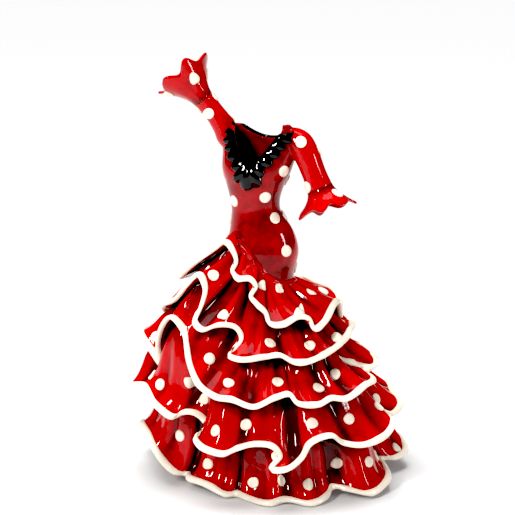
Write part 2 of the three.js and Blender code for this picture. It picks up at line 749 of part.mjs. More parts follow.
// The neckline on the body, from the bottom of the V round the wearer's left shoulder, the nape and the right.
function neckline() {
  const side = (rows, front, hand) =>
    rows.map((row) => {
      const s = section(row.z);
      const deep = (front ? -1 : 1) * s.halfDepth * Math.sqrt(Math.max(0.02, 1 - (row.side / s.halfWidth) ** 2));
      const [c, n] = [Math.cos(SIDE_TURN), Math.sin(SIDE_TURN)];
      return vec(NECK_X + hand * row.side * c - deep * n, hand * row.side * n + deep * c, row.z);
    });
  const corners = [
    ...side(NECK_FRONT.slice(0, -1), true, 1),
    ...side(NECK_BACK.slice(0, -1), false, 1).reverse(),
    ...side(NECK_BACK.slice(1, -1), false, -1),
    ...side(NECK_FRONT.slice(1, -1), true, -1).reverse(),
  ];
  return new THREE.CatmullRomCurve3(corners, true, "centripetal");
}

// The frill lies on the chest, its inner edge along the neckline, its outer edge scalloped and lifted in waves. It is
// wider at the bottom of the V, where its two sides meet. Each section of it is made larger by `grow`.
function frillSolid(grow) {
  const line = neckline();
  const length = line.getLength();
  const sections = Array.from({ length: FRILL_SAMPLES }, (_, i) => {
    const share = i / FRILL_SAMPLES;
    const seat = ontoBody(line.getPointAt(share));
    const along = line.getTangentAt(share);
    const away = along.clone().cross(seat.normal).normalize();
    const wave = Math.cos(2 * Math.PI * FRILL_SCALLOPS * share);
    const fromPoint = Math.min(share, 1 - share) * length;
    const point = 1 + FRILL_POINT * Math.exp(-((fromPoint / FRILL_POINT_REACH) ** 2));
    const width = FRILL_WIDTH * point + FRILL_WAVE * wave;
    const place = (out, over) => {
      const spot = ontoBody(seat.p.clone().addScaledVector(away, out));
      return spot.p.addScaledVector(spot.normal, over);
    };
    const rise = 0.8 + 0.7 * wave; // the scallops' lift off the chest
    const under = GAP + 0.2; // it lies this far over the chest, and its inner edge is a little thicker
    return [
      place(-FRILL_OVERHANG - grow, under - grow),
      place(width * 0.55, under - grow),
      place(width + grow, GAP + rise - grow),
      place(width + grow, GAP + rise + FRILL_THICK + grow),
      place(-FRILL_OVERHANG - grow, under + 0.4 + FRILL_THICK + grow),
    ];
  });
  return ringOfSections(sections);
}

// The largest body of a solid: a cut can leave loose slivers.
const largest = (made) => made.decompose().sort((a, b) => b.volume() - a.volume())[0];

add("neck_frill", geometryOf(largest(solid(frillSolid(0)).subtract(bodySolid(GAP / 2)))), BLACK);

const bodyWithRoom = bodySolid(GAP);
const frillWithRoom = solid(frillSolid(GAP));
for (const [name, rows] of Object.entries(SLEEVES)) {
  const hollow = sleeveRod(rows, -WALL, ARMHOLE);
  const tube = sleeveRod(rows, 0).subtract(hollow).subtract(bodyWithRoom).subtract(frillWithRoom);
  add(name, geometryOf(largest(tube)), RED);
}

// The origin is under the middle of the whole dress.
const FOOT = { x: 0.8, y: 3.9 };
dress.position.set(-FOOT.x, -FOOT.y, 0);

export default dress;
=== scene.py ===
"""The dress of a flamenco dancer figurine, cast in resin and painted in gloss enamel.

A close sheath with a V neck, two sleeves with flared cuffs, a black frill and five gathered flounces with a
bound edge round a plain underskirt. Sizes are in millimetres until a mesh is made. The dress looks to -Y.
"""

import math

import bmesh
import bpy
import numpy as np
from bpy.props import FloatProperty, FloatVectorProperty, IntProperty, PointerProperty
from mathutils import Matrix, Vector


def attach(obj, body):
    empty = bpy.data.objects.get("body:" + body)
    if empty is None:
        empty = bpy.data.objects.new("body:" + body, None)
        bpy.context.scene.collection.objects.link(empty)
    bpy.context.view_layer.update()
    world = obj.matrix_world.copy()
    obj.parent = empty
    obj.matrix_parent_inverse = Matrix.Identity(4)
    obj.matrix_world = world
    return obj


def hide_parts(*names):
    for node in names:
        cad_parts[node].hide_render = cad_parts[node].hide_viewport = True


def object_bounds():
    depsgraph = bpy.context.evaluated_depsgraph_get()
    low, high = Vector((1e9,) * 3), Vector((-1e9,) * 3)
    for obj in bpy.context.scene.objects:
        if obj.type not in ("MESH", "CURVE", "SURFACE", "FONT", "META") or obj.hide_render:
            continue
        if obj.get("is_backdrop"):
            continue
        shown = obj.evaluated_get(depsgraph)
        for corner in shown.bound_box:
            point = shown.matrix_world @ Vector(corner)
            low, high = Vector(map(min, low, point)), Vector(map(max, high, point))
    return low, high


bl_info = {
    "name": "Flamenco dress",
    "version": (1, 0, 0),
    "blender": (4, 5, 0),
    "location": "View3D > Sidebar > Dress",
    "description": "Builds a cast and painted flamenco dress round its packed solids",
    "category": "Add Mesh",
}

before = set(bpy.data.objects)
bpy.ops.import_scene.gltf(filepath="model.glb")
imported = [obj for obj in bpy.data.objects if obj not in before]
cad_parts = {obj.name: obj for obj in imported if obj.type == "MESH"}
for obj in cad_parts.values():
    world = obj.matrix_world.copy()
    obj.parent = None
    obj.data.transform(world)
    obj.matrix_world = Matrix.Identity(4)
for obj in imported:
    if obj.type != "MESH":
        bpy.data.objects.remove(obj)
CAD_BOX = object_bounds()

MM = 0.001
FOOT = np.array([0.8, 3.9, 0.0])  # what the solids were moved by, to stand over the origin
FACING = -25.0  # degrees that the chest is turned from straight ahead, about +Z
NECK_X = -4.0  # the middle of the shoulders
LIFT_AT = -65.0  # degrees from straight ahead: where the flounces' seams are highest
HIP_SEAM = 122.0  # height where the sheath ends and the underskirt begins
GAP = 0.3  # clear space at a seam
HEM = {"width": 5.0, "height": 2.4}  # the underskirt's turned-in hem
SHOULDER = 206.0  # above this height the sheath closes over the shoulders
SOFT_EDGE = {"start": 0.2, "end": 0.35}  # how far a cloth's edges stand out, as shares of its thickness
CAST_VOXEL = 0.62  # size of the even quads that the sheath is rebuilt in
CAST_ROUNDS = 5  # rounds of smoothing, as thick paint softens a cast

# How deep a surface counts as lying in a fold, 0 to 1, for the dark colour there, which is partly a wash and
# partly painted shade: when it's even, what each millimetre below its surroundings adds, the most that this
# gives, and the painted shade that being close under the tier above adds, over a share of what shows.
WASH_AND_SHADE = {"even": 0.3, "per_mm": 0.42, "most": 0.85, "under": 0.5, "under_share": 0.3}
# Even darkness for the inside of any cloth and for the underskirt under the flounces: partly wash, partly
# painted shade.
INSIDE_WASH_AND_SHADE = 0.4  # the same for the inside of any cloth, and for the underskirt
# How dark the sheath is made, partly wash and partly painted shade: on the body, on the sleeves, and what
# the hip adds as painted shade under the first flounce.
SHEATH_WASH_AND_SHADE = {"body": 0.42, "arms": 0.12, "hip": 0.12}  # the sheath's, its sleeves', and what its hip adds

# The cut of what shows, in millimetres. A flounce's and the frill's length come from their edges.
CUTS = {"sheath": (130, 165), "underskirt": (330, 145), "cuff": (100, 16), "frill_depth": 10}
GATHER_ALLOWANCE = 1.2  # the cut of a gathered piece against its mean size as it lies

# The neck frill: points round it, how far it reaches in under the neckline, its thickness, its lift off the
# sheath at the neck and halfway, its ruffle, its longer tip at the V and how sharp its notches are.
FRILL = {
    "points": 612, "inward": 0.6, "thick": 1.5, "lift": 1.8, "middle_lift": 0.7, "ruffle": (1.0, 0.6, 0.3),
    "tip": 0.9, "tip_width": 2.2, "notch": 0.7,
}


def rows(names, *table):
    """A short table as one dict of named values a row."""
    return [dict(zip(names, values)) for values in table]


# Sheath and underskirt as ellipses: height, centre, half width, half depth, and turn about +Z in degrees.
BODY = rows(
    ("z", "x", "y", "halfWidth", "halfDepth", "turn"),
    (0, 12, 2, 50, 48, 0), (40, 7, 1, 36, 34, -5), (80, 1, 0, 25, 23, -12), (104, -2.5, 0, 19, 17.5, -18),
    (123, -3.5, 0, 19.3, 17, -20), (139, -3.4, 0, 22.3, 18.5, -22), (151, -3.8, 0, 19.6, 16.4, -24),
    (163, -6.9, 0, 15.2, 12.8, -25), (170, -7.8, 0, 15.4, 12.6, -25), (179, -7.6, -0.5, 17.8, 14.4, -25),
    (188, -6.8, -1, 21.2, 16.4, -25), (197, -5.4, -0.5, 22.8, 15, -25), (206, -4.4, 0, 23.6, 11.5, -25),
    (212, -4, 0, 22, 8, -25), (216, -4, 0, 18.4, 4.8, -25),
)

# Half of the neck opening from the front: distance from the middle, and height.
NECK_FRONT = rows(
    ("side", "z"),
    (0, 190.5), (4.2, 195.2), (9.6, 202), (13.4, 208.5), (15.4, 213.5),
)

# The same from the back.
NECK_BACK = rows(
    ("side", "z"),
    (0, 205), (5, 205.6), (10, 207.8), (13.6, 210.6), (15.4, 213.5),
)

# The left sleeve's centreline from inside the shoulder to the cuff, with its radius.
SLEEVE_LEFT = rows(
    ("x", "y", "z", "radius"),
    (7, -4, 204.5, 6), (13, -6.5, 206.8, 7.4), (18.4, -9.2, 205.2, 8), (22.6, -11.3, 198.6, 7.6),
    (26.8, -13.4, 188.2, 7.2), (30.3, -15, 179.4, 7.8),
)

# The right sleeve's centreline from inside the shoulder to the cuff, with its radius.
SLEEVE_RIGHT = rows(
    ("x", "y", "z", "radius"),
    (-14, 5, 202, 6.6), (-22, 8, 206, 8), (-26, 8.6, 212, 7), (-30.5, 9.2, 218.5, 6.1),
    (-35.4, 10, 224.7, 6), (-39, 10, 229, 6.4),
)

# Flounces, from the hip down. Each fold is one crest or hollow of the bound edge: its angle from straight
# ahead towards +X, its reach from the Z axis and its height.
FOLDS_1 = rows(
    ("turn", "reach", "height"),
    (-168, 40, 113), (-150, 46, 110), (-132, 43, 117), (-116, 50, 116), (-101, 49, 121), (-84, 52, 124),
    (-73, 46, 134), (-68, 36, 142), (-60, 29, 147.5), (-49, 27, 142.5), (-41, 28.5, 137), (-41, 31.5, 132),
    (-32, 33.5, 129), (-20, 31, 129), (-13, 32, 125), (-16, 35.5, 119.5), (-10, 37, 115.5), (-2.5, 37, 111),
    (2, 40.5, 105), (12, 41, 104.5), (25, 40.5, 108), (33, 43, 107), (35, 47.5, 101.5), (44, 47, 104),
    (62, 44, 111), (80, 43, 109), (93, 43.5, 97), (108, 46, 104), (122, 47, 107), (136, 43, 109.5),
    (150, 40, 113), (170, 45, 109),
)
FOLDS_2 = rows(
    ("turn", "reach", "height"),
    (-171, 50, 92), (-156, 56, 88), (-141, 51, 95), (-126, 60, 94), (-112, 57, 101), (-101, 62, 98),
    (-89, 62.5, 105), (-69, 58, 115), (-62, 54, 124.5), (-57, 48.5, 131), (-51.5, 47, 124),
    (-48.5, 52, 114), (-47, 58, 105.5), (-42, 57, 102), (-36, 50, 104), (-27, 42, 102), (-21.5, 42, 96),
    (-23.5, 48, 91), (-25, 54, 88.5), (-17, 55, 87), (-2, 49, 87.5), (8, 47.5, 88), (17, 52, 84.5),
    (24, 54, 84.5), (37, 54, 87), (56, 52, 90), (75, 51.5, 94), (92, 51, 93), (108, 54, 88), (122, 51, 92),
    (138, 57, 88), (154, 51, 93), (172, 55, 88),
)
FOLDS_3 = rows(
    ("turn", "reach", "height"),
    (-172, 64, 66), (-158, 69, 62), (-144, 63, 69), (-130, 72, 68), (-117, 69, 77), (-105, 74, 83),
    (-91, 77, 86), (-84, 71, 79), (-79, 65, 71), (-75.5, 68, 85), (-68, 67, 100), (-62, 64, 106),
    (-57, 59.5, 99), (-50, 62, 90.5), (-43.5, 66, 82), (-35, 70, 73.5), (-26, 68, 67), (-19, 64.5, 65.5),
    (-7.5, 64, 62), (4, 59, 66), (12, 58.5, 67.5), (16, 63, 63), (26, 66, 62), (35, 64, 63.5), (42, 67, 62),
    (57, 68, 66), (71, 66.5, 65), (73, 61, 68), (84, 66, 69.5), (95, 64, 71), (104, 69, 66), (118, 66, 70),
    (132, 71, 64), (147, 65, 69), (160, 70, 62), (174, 65, 67),
)
FOLDS_4 = rows(
    ("turn", "reach", "height"),
    (-174, 74, 39), (-160, 80, 33), (-147, 74, 41), (-134, 82, 38), (-121, 77, 46), (-109, 83, 44),
    (-99, 79, 51), (-89, 84, 54.5), (-76, 77, 59.5), (-62, 75.5, 53.5), (-53, 70, 48), (-51, 64.5, 50.5),
    (-46, 60, 50.5), (-41, 57, 46), (-38, 61, 42.5), (-38, 69, 40), (-31, 74, 37), (-21, 72, 34.5),
    (-15.5, 66.5, 37), (-7, 66, 40), (2, 66.5, 39), (6, 66.5, 33), (1.5, 71, 26.5), (8, 73, 27),
    (16, 68.5, 31.5), (20, 69.5, 40), (29, 74, 45), (37, 73, 38), (45, 78, 35.5), (57, 81, 36.5),
    (69, 80, 40), (74, 74, 41.5), (79, 68, 42.5), (86, 76, 37), (94, 82, 39), (104, 80, 42), (113, 83, 43),
    (125, 78, 44), (137, 84, 37), (151, 78, 41), (164, 83, 34),
)
FOLDS_5 = rows(
    ("turn", "reach", "height"),
    (-176, 77, 4.5), (-163, 83, 3), (-150, 76, 8), (-137, 83, 7), (-124, 77, 15), (-112, 82, 15),
    (-101, 77, 24), (-88, 77.5, 30), (-77, 74.5, 28), (-68, 72, 20), (-61.5, 63, 8), (-59, 56.5, 7),
    (-53, 59, 7), (-38, 58, 6.5), (-25, 57.5, 3), (-20.5, 53.5, 3), (-14, 56.5, 2.6), (1, 64, 2.6),
    (10, 61, 3.5), (21, 69, 2.6), (32, 66, 4.5), (38, 61.5, 6.5), (42, 68, 6.5), (49, 80, 4), (62, 81, 7.5),
    (73, 74, 9.5), (79, 70, 10.5), (83, 78, 9.5), (91, 85, 11), (102, 83, 15), (113, 79, 9), (125, 84, 4),
    (138, 77, 5), (152, 83, 3), (167, 77, 4),
)
# seam: height of the seam at the wearer's left; lift: its rise towards the gathered side; flare: how late
# the first tier's cloth leaves the sheath.
FLOUNCES = {
    "flounce_1": {"seam": 123, "lift": 29, "flare": 1.6, "folds": FOLDS_1},
    "flounce_2": {"seam": 103, "lift": 32, "flare": 1.15, "folds": FOLDS_2},
    "flounce_3": {"seam": 84, "lift": 26, "flare": 1.1, "folds": FOLDS_3},
    "flounce_4": {"seam": 60, "lift": 20, "flare": 1.05, "folds": FOLDS_4},
    "flounce_5": {"seam": 36, "lift": 14, "flare": 1, "folds": FOLDS_5},
}
SLEEVE_TABLES = {"sleeve_left": SLEEVE_LEFT, "sleeve_right": SLEEVE_RIGHT}
# Cuffs: the middle of the open edge, its radius, and its scallops' count, depth along the arm, reach and
# phase.
CUFFS = {
    "cuff_left": {"of": "sleeve_left", "x": 33.6, "y": -18.2, "z": 168.8, "radius": 16.4,
                  "waves": 7, "drop": 1.5, "reach": 1.6, "phase": 0.6},
    "cuff_right": {"of": "sleeve_right", "x": -49.6, "y": 16.5, "z": 241.2, "radius": 17.2,
                   "waves": 6, "drop": 1.8, "reach": 1.6, "phase": 0.2},
}

# Dots on the front of the sheath: angle from straight ahead, towards +X, and height.
SHEATH_FRONT = (
    (48, 190), (24, 174), (43, 161), (42, 142), (88, 128), (-65, 170), (-108, 185), (-105, 157),
    (85, 182), (88, 160),
)
# Dots on the sleeves: angle round the sleeve and share of its length.
SLEEVE_DOTS = {
    "sleeve_left": ((75, 0.43), (150, 0.92), (345, 0.6), (265, 0.5), (255, 0.85)),
    "sleeve_right": ((65, 0.7), (190, 0.85), (350, 0.88), (270, 0.62), (225, 0.45)),
}
# Dots on the cuffs: angle round the cuff and share of the way to its edge.
CUFF_DOTS = {
    "cuff_left": ((30, 0.5), (240, 0.6), (310, 0.6)),
    "cuff_right": ((115, 0.57), (15, 0.85), (205, 0.6), (290, 0.6)),
}
# Dots on a flounce's front: angle of the seam point above it, and share of the way down what shows.
FRONT_DOTS = {
    "flounce_1": ((26, 0.33), (32, 0.8), (64, 0.62), (112, 0.78), (-2, 0.48)),
    "flounce_2": ((-55, 0.78), (-37, 0.74), (-25, 0.6), (2, 0.57), (33, 0.55), (56, 0.84), (84, 0.6)),
    "flounce_3": ((-37, 0.54), (-23, 0.68), (6, 0.61), (32, 0.62), (48, 0.45), (72, 0.7), (-88, 0.7)),
    "flounce_4": (
        (-77, 0.62), (-68, 0.76), (-53, 0.49), (-46, 0.68), (-26, 0.57), (-13, 0.45), (8, 0.76),
        (25, 0.55), (47, 0.38), (70, 0.65), (88, 0.6),
    ),
    "flounce_5": (
        (-64, 0.48), (-42, 0.66), (-10, 0.68), (7, 0.5), (22, 0.66), (41, 0.44), (56, 0.42), (72, 0.7),
        (90, 0.8),
    ),
}
# Dots on the sheath's back: the rows' heights, where the rows start by turns, where they end, their step,
# and how far a dot strays up or down.
BACK_DOTS = {"heights": (190, 171, 152, 134), "first": (145, 125), "last": 240, "step": 42, "stray": 2}
# Dots round a flounce's sides and back: where they start, where the first tier's start, where they end, the
# shares of the way down that they take in turn, and how far a dot strays in degrees and share.
ROUND_DOTS = {"first": 104, "first_tier": 130, "last": 262, "shares": (0.4, 0.74), "stray": (3, 0.05)}


def sheath_dots():
    """The front dots, and staggered rows of them over the back."""
    places = list(SHEATH_FRONT)
    for row, z in enumerate(BACK_DOTS["heights"]):
        turns = range(BACK_DOTS["first"][row % 2], BACK_DOTS["last"], BACK_DOTS["step"])
        places += [(turn, z + BACK_DOTS["stray"] * math.sin(turn)) for turn in turns]
    return places


def flounce_dots(name):
    """The front dots, and staggered rows of them round the sides and back."""
    tier = int(name[-1])
    first = ROUND_DOTS["first_tier" if tier == 1 else "first"]
    turn_stray, share_stray = ROUND_DOTS["stray"]
    count = 4 + 2 * tier
    places = list(FRONT_DOTS[name])
    for k in range(count):
        turn = first + (ROUND_DOTS["last"] - first) * (k + 0.5) / count + turn_stray * math.sin(5 * k + tier)
        share = ROUND_DOTS["shares"][(k + tier) % 2] + share_stray * math.sin(3 * k + 2 * tier)
        places.append((turn, share))
    return places


# ---- shapes in numbers ----


def column(table, key, name, at):
    """A smooth curve through a table's named column, with the rows placed by the column `key`."""
    xs = np.array([row[key] for row in table], float)
    ys = np.array([row[name] for row in table], float)
    slopes = np.empty_like(ys)
    slopes[1:-1] = (ys[2:] - ys[:-2]) / (xs[2:] - xs[:-2])
    slopes[0] = (ys[1] - ys[0]) / (xs[1] - xs[0])
    slopes[-1] = (ys[-1] - ys[-2]) / (xs[-1] - xs[-2])
    at = np.clip(np.asarray(at, float), xs[0], xs[-1])
    i = np.clip(np.searchsorted(xs, at) - 1, 0, len(xs) - 2)
    span = xs[i + 1] - xs[i]
    t = (at - xs[i]) / span
    rise = ys[i] + (ys[i + 1] - ys[i]) * t * t * (3 - 2 * t)
    return rise + span * t * (1 - t) * (slopes[i] * (1 - t) - slopes[i + 1] * t)


def section(z, grow=0.0):
    """The body's ellipse at a height, made larger by `grow`: centre, half width, half depth and turn."""
    names = ("x", "y", "halfWidth", "halfDepth", "turn")
    x, y, wide, deep, turn = (column(BODY, "z", name, z) for name in names)
    return x, y, wide + grow, deep + grow, np.radians(turn)


def on_body(degrees, z, grow=0.0):
    """Points of the body's surface at angles from straight ahead, towards +X, and heights."""
    degrees, z = np.broadcast_arrays(np.asarray(degrees, float), np.asarray(z, float))
    x, y, wide, deep, turn = section(z, grow)
    a = np.radians(degrees)
    reach = 1 / np.hypot(np.sin(a - turn) / wide, np.cos(a - turn) / deep)
    return np.stack([x + reach * np.sin(a), y - reach * np.cos(a), z], -1)


def unit(v):
    return v / np.maximum(np.linalg.norm(v, axis=-1, keepdims=True), 1e-9)


def out_of_body(points):
    """The points of the body's surface that given points slide down to, and the normals there."""

    def value(q):
        x, y, wide, deep, turn = section(q[..., 2])
        dx, dy = q[..., 0] - x, q[..., 1] - y
        side = dx * np.cos(turn) + dy * np.sin(turn)
        back = dy * np.cos(turn) - dx * np.sin(turn)
        return np.hypot(side / wide, back / deep) - 1

    step = 0.05
    p = np.array(points, float)
    rounds = 9
    for _ in range(rounds):
        here = value(p)
        slope = np.stack([(value(p + step * axis) - here) / step for axis in np.eye(3)], -1)
        p = p - slope * (here / np.sum(slope * slope, -1))[..., None]
    return p, unit(slope)


def closed_curve(corners, count):
    """A closed centripetal Catmull-Rom curve through corners, as `count` points evenly spaced by length."""
    corners = np.asarray(corners, float)
    n = len(corners)
    fine = 40
    pieces = []
    for k in range(n):
        p = [corners[(k + d) % n] for d in (-1, 0, 1, 2)]
        gaps = [max(np.linalg.norm(p[d + 1] - p[d]), 1e-6) ** 0.5 for d in range(3)]
        m1 = (p[1] - p[0]) / gaps[0] - (p[2] - p[0]) / (gaps[0] + gaps[1]) + (p[2] - p[1]) / gaps[1]
        m2 = (p[2] - p[1]) / gaps[1] - (p[3] - p[1]) / (gaps[1] + gaps[2]) + (p[3] - p[2]) / gaps[2]
        m1, m2 = m1 * gaps[1], m2 * gaps[1]
        t = (np.arange(fine) / fine)[:, None]
        pieces.append(
            (2 * t**3 - 3 * t**2 + 1) * p[1] + (t**3 - 2 * t**2 + t) * m1
            + (3 * t**2 - 2 * t**3) * p[2] + (t**3 - t**2) * m2
        )
    line = np.concatenate(pieces + [pieces[0][:1]])
    run = np.concatenate([[0], np.cumsum(np.linalg.norm(np.diff(line, axis=0), axis=1))])
    at = run[-1] * np.arange(count) / count
    return np.stack([np.interp(at, run, line[:, k]) for k in range(3)], -1)


def evened(points, reach):
    """A closed ring of values, evened out over `reach` neighbours to each side."""
    weights = 1 - np.abs(np.arange(-reach, reach + 1)) / (reach + 1)
    total = sum(w * np.roll(points, -k, axis=0) for k, w in zip(range(-reach, reach + 1), weights))
    return total / weights.sum()


def grid_normals(p):
    """Normals of a grid whose first axis runs round a closed ring and whose second runs down the cloth."""
    along = np.roll(p, -1, axis=0) - np.roll(p, 1, axis=0)
    return unit(np.cross(np.gradient(p, axis=1), along))


# ---- meshes ----


def new_object(name, points, faces):
    """A mesh object from points in millimetres. Its place is in its mesh."""
    mesh = bpy.data.meshes.new(name)
    mesh.from_pydata(((np.asarray(points) - FOOT) * MM).tolist(), [], faces)
    piece = bpy.data.objects.new(name, mesh)
    bpy.context.collection.objects.link(piece)
    return tidy_normals(piece)


def tidy_normals(piece):
    """Faces turned outwards, and shaded smooth."""
    work = bmesh.new()
    work.from_mesh(piece.data)
    bmesh.ops.recalc_face_normals(work, faces=work.faces)
    work.to_mesh(piece.data)
    work.free()
    piece.data.polygons.foreach_set("use_smooth", [True] * len(piece.data.polygons))
    return piece


def torus_faces(rings, around):
    """Quads of a closed ring of closed sections."""
    i, k = np.meshgrid(np.arange(rings), np.arange(around), indexing="ij")
    i2, k2 = (i + 1) % rings, (k + 1) % around
    quads = np.stack([i * around + k, i * around + k2, i2 * around + k2, i2 * around + k], -1)
    return quads.reshape(-1, 4).tolist()


def ring_solid(name, sections):
    """A closed solid through closed sections, (section, point, xyz), the last joined to the first."""
    rings, around = sections.shape[:2]
    return new_object(name, sections.reshape(-1, 3), torus_faces(rings, around))


def rod(name, rings):
    """A solid through rings, with flat ends."""
    count, around = rings.shape[:2]
    faces = [f for f in torus_faces(count, around) if max(f) - min(f) < 2 * around]
    faces += [list(range(around)), list(range((count - 1) * around, count * around))]
    return new_object(name, rings.reshape(-1, 3), faces)


def shell_sections(outer, thick):
    """Closed sections of a wall of cloth: its outer face, then its inner face back, with soft edges."""
    normal = grid_normals(outer)
    inner = outer - thick * normal
    down = unit(np.gradient(outer, axis=1))
    end = (outer[:, -1:] + inner[:, -1:]) / 2 + down[:, -1:] * thick * SOFT_EDGE["end"]
    start = (outer[:, :1] + inner[:, :1]) / 2 - down[:, :1] * thick * SOFT_EDGE["start"]
    return np.concatenate([start, outer, end, inner[:, ::-1]], axis=1)


def with_modifiers(piece):
    """The piece's mesh with its modifiers worked in."""
    depsgraph = bpy.context.evaluated_depsgraph_get()
    mesh = bpy.data.meshes.new_from_object(piece.evaluated_get(depsgraph))
    piece.modifiers.clear()
    piece.data = mesh
    return piece


def boolean(piece, other, operation):
    """Joins or cuts a piece with another one, which is then removed."""
    cut = piece.modifiers.new("cut", "BOOLEAN")
    cut.object = other
    cut.operation = operation
    cut.solver = "EXACT"
    with_modifiers(piece)
    bpy.data.objects.remove(other, do_unlink=True)
    return piece


def cast_soft(piece, voxel, rounds):
    """Rebuilds a piece in small even quads and rounds its edges, as thick paint on a cast does."""
    remesh = piece.modifiers.new("even quads", "REMESH")
    remesh.mode = "VOXEL"
    remesh.voxel_size = voxel * MM
    smooth = piece.modifiers.new("soft", "SMOOTH")
    smooth.factor = 0.5
    smooth.iterations = rounds
    return tidy_normals(with_modifiers(piece))


def join(pieces, name):
    """Several mesh objects as one."""
    first = pieces[0]
    chosen = {"active_object": first, "selected_objects": pieces, "selected_editable_objects": pieces}
    with bpy.context.temp_override(**chosen):
        bpy.ops.object.join()
    first.name = name
    first.data.name = name
    return first


def paint_depth(piece, values):
    """Stores how dark each point is made, 0 to 1, by the wash and the painted shade in folds and hollows."""
    layer = piece.data.attributes.new("wash_and_shade_depth", "FLOAT", "POINT")
    layer.data.foreach_set("value", np.clip(values, 0, 1).ravel())


# ---- the dress's own surfaces ----


def by_angle(points, spread):
    """Reach and height of a closed edge at each whole degree from straight ahead, evened out."""
    degrees = np.round(np.degrees(np.arctan2(points[:, 0], -points[:, 1]))).astype(int) % 360
    reach = np.hypot(points[:, 0], points[:, 1])
    low, near = np.full(360, np.nan), np.full(360, np.nan)
    for k in range(360):
        here = degrees == k
        if here.any():
            low[k], near[k] = points[here, 2].min(), reach[here].min()
    known = ~np.isnan(low)
    every = np.arange(360)
    low = np.interp(every, every[known], low[known], period=360)
    near = np.interp(every, every[known], near[known], period=360)
    return evened(near, spread), evened(low, spread)


def bent(t, start, end, start_pull, end_pull):
    """Points at shares t along a curve that leaves its start and meets its end in the given directions."""
    start, end, start_pull, end_pull = (v[:, None] for v in (start, end, start_pull, end_pull))
    rest = 2 * t**3 - 3 * t**2
    return (1 + rest) * start - rest * end + (t**3 - 2 * t**2 + t) * start_pull + (t**3 - t**2) * end_pull


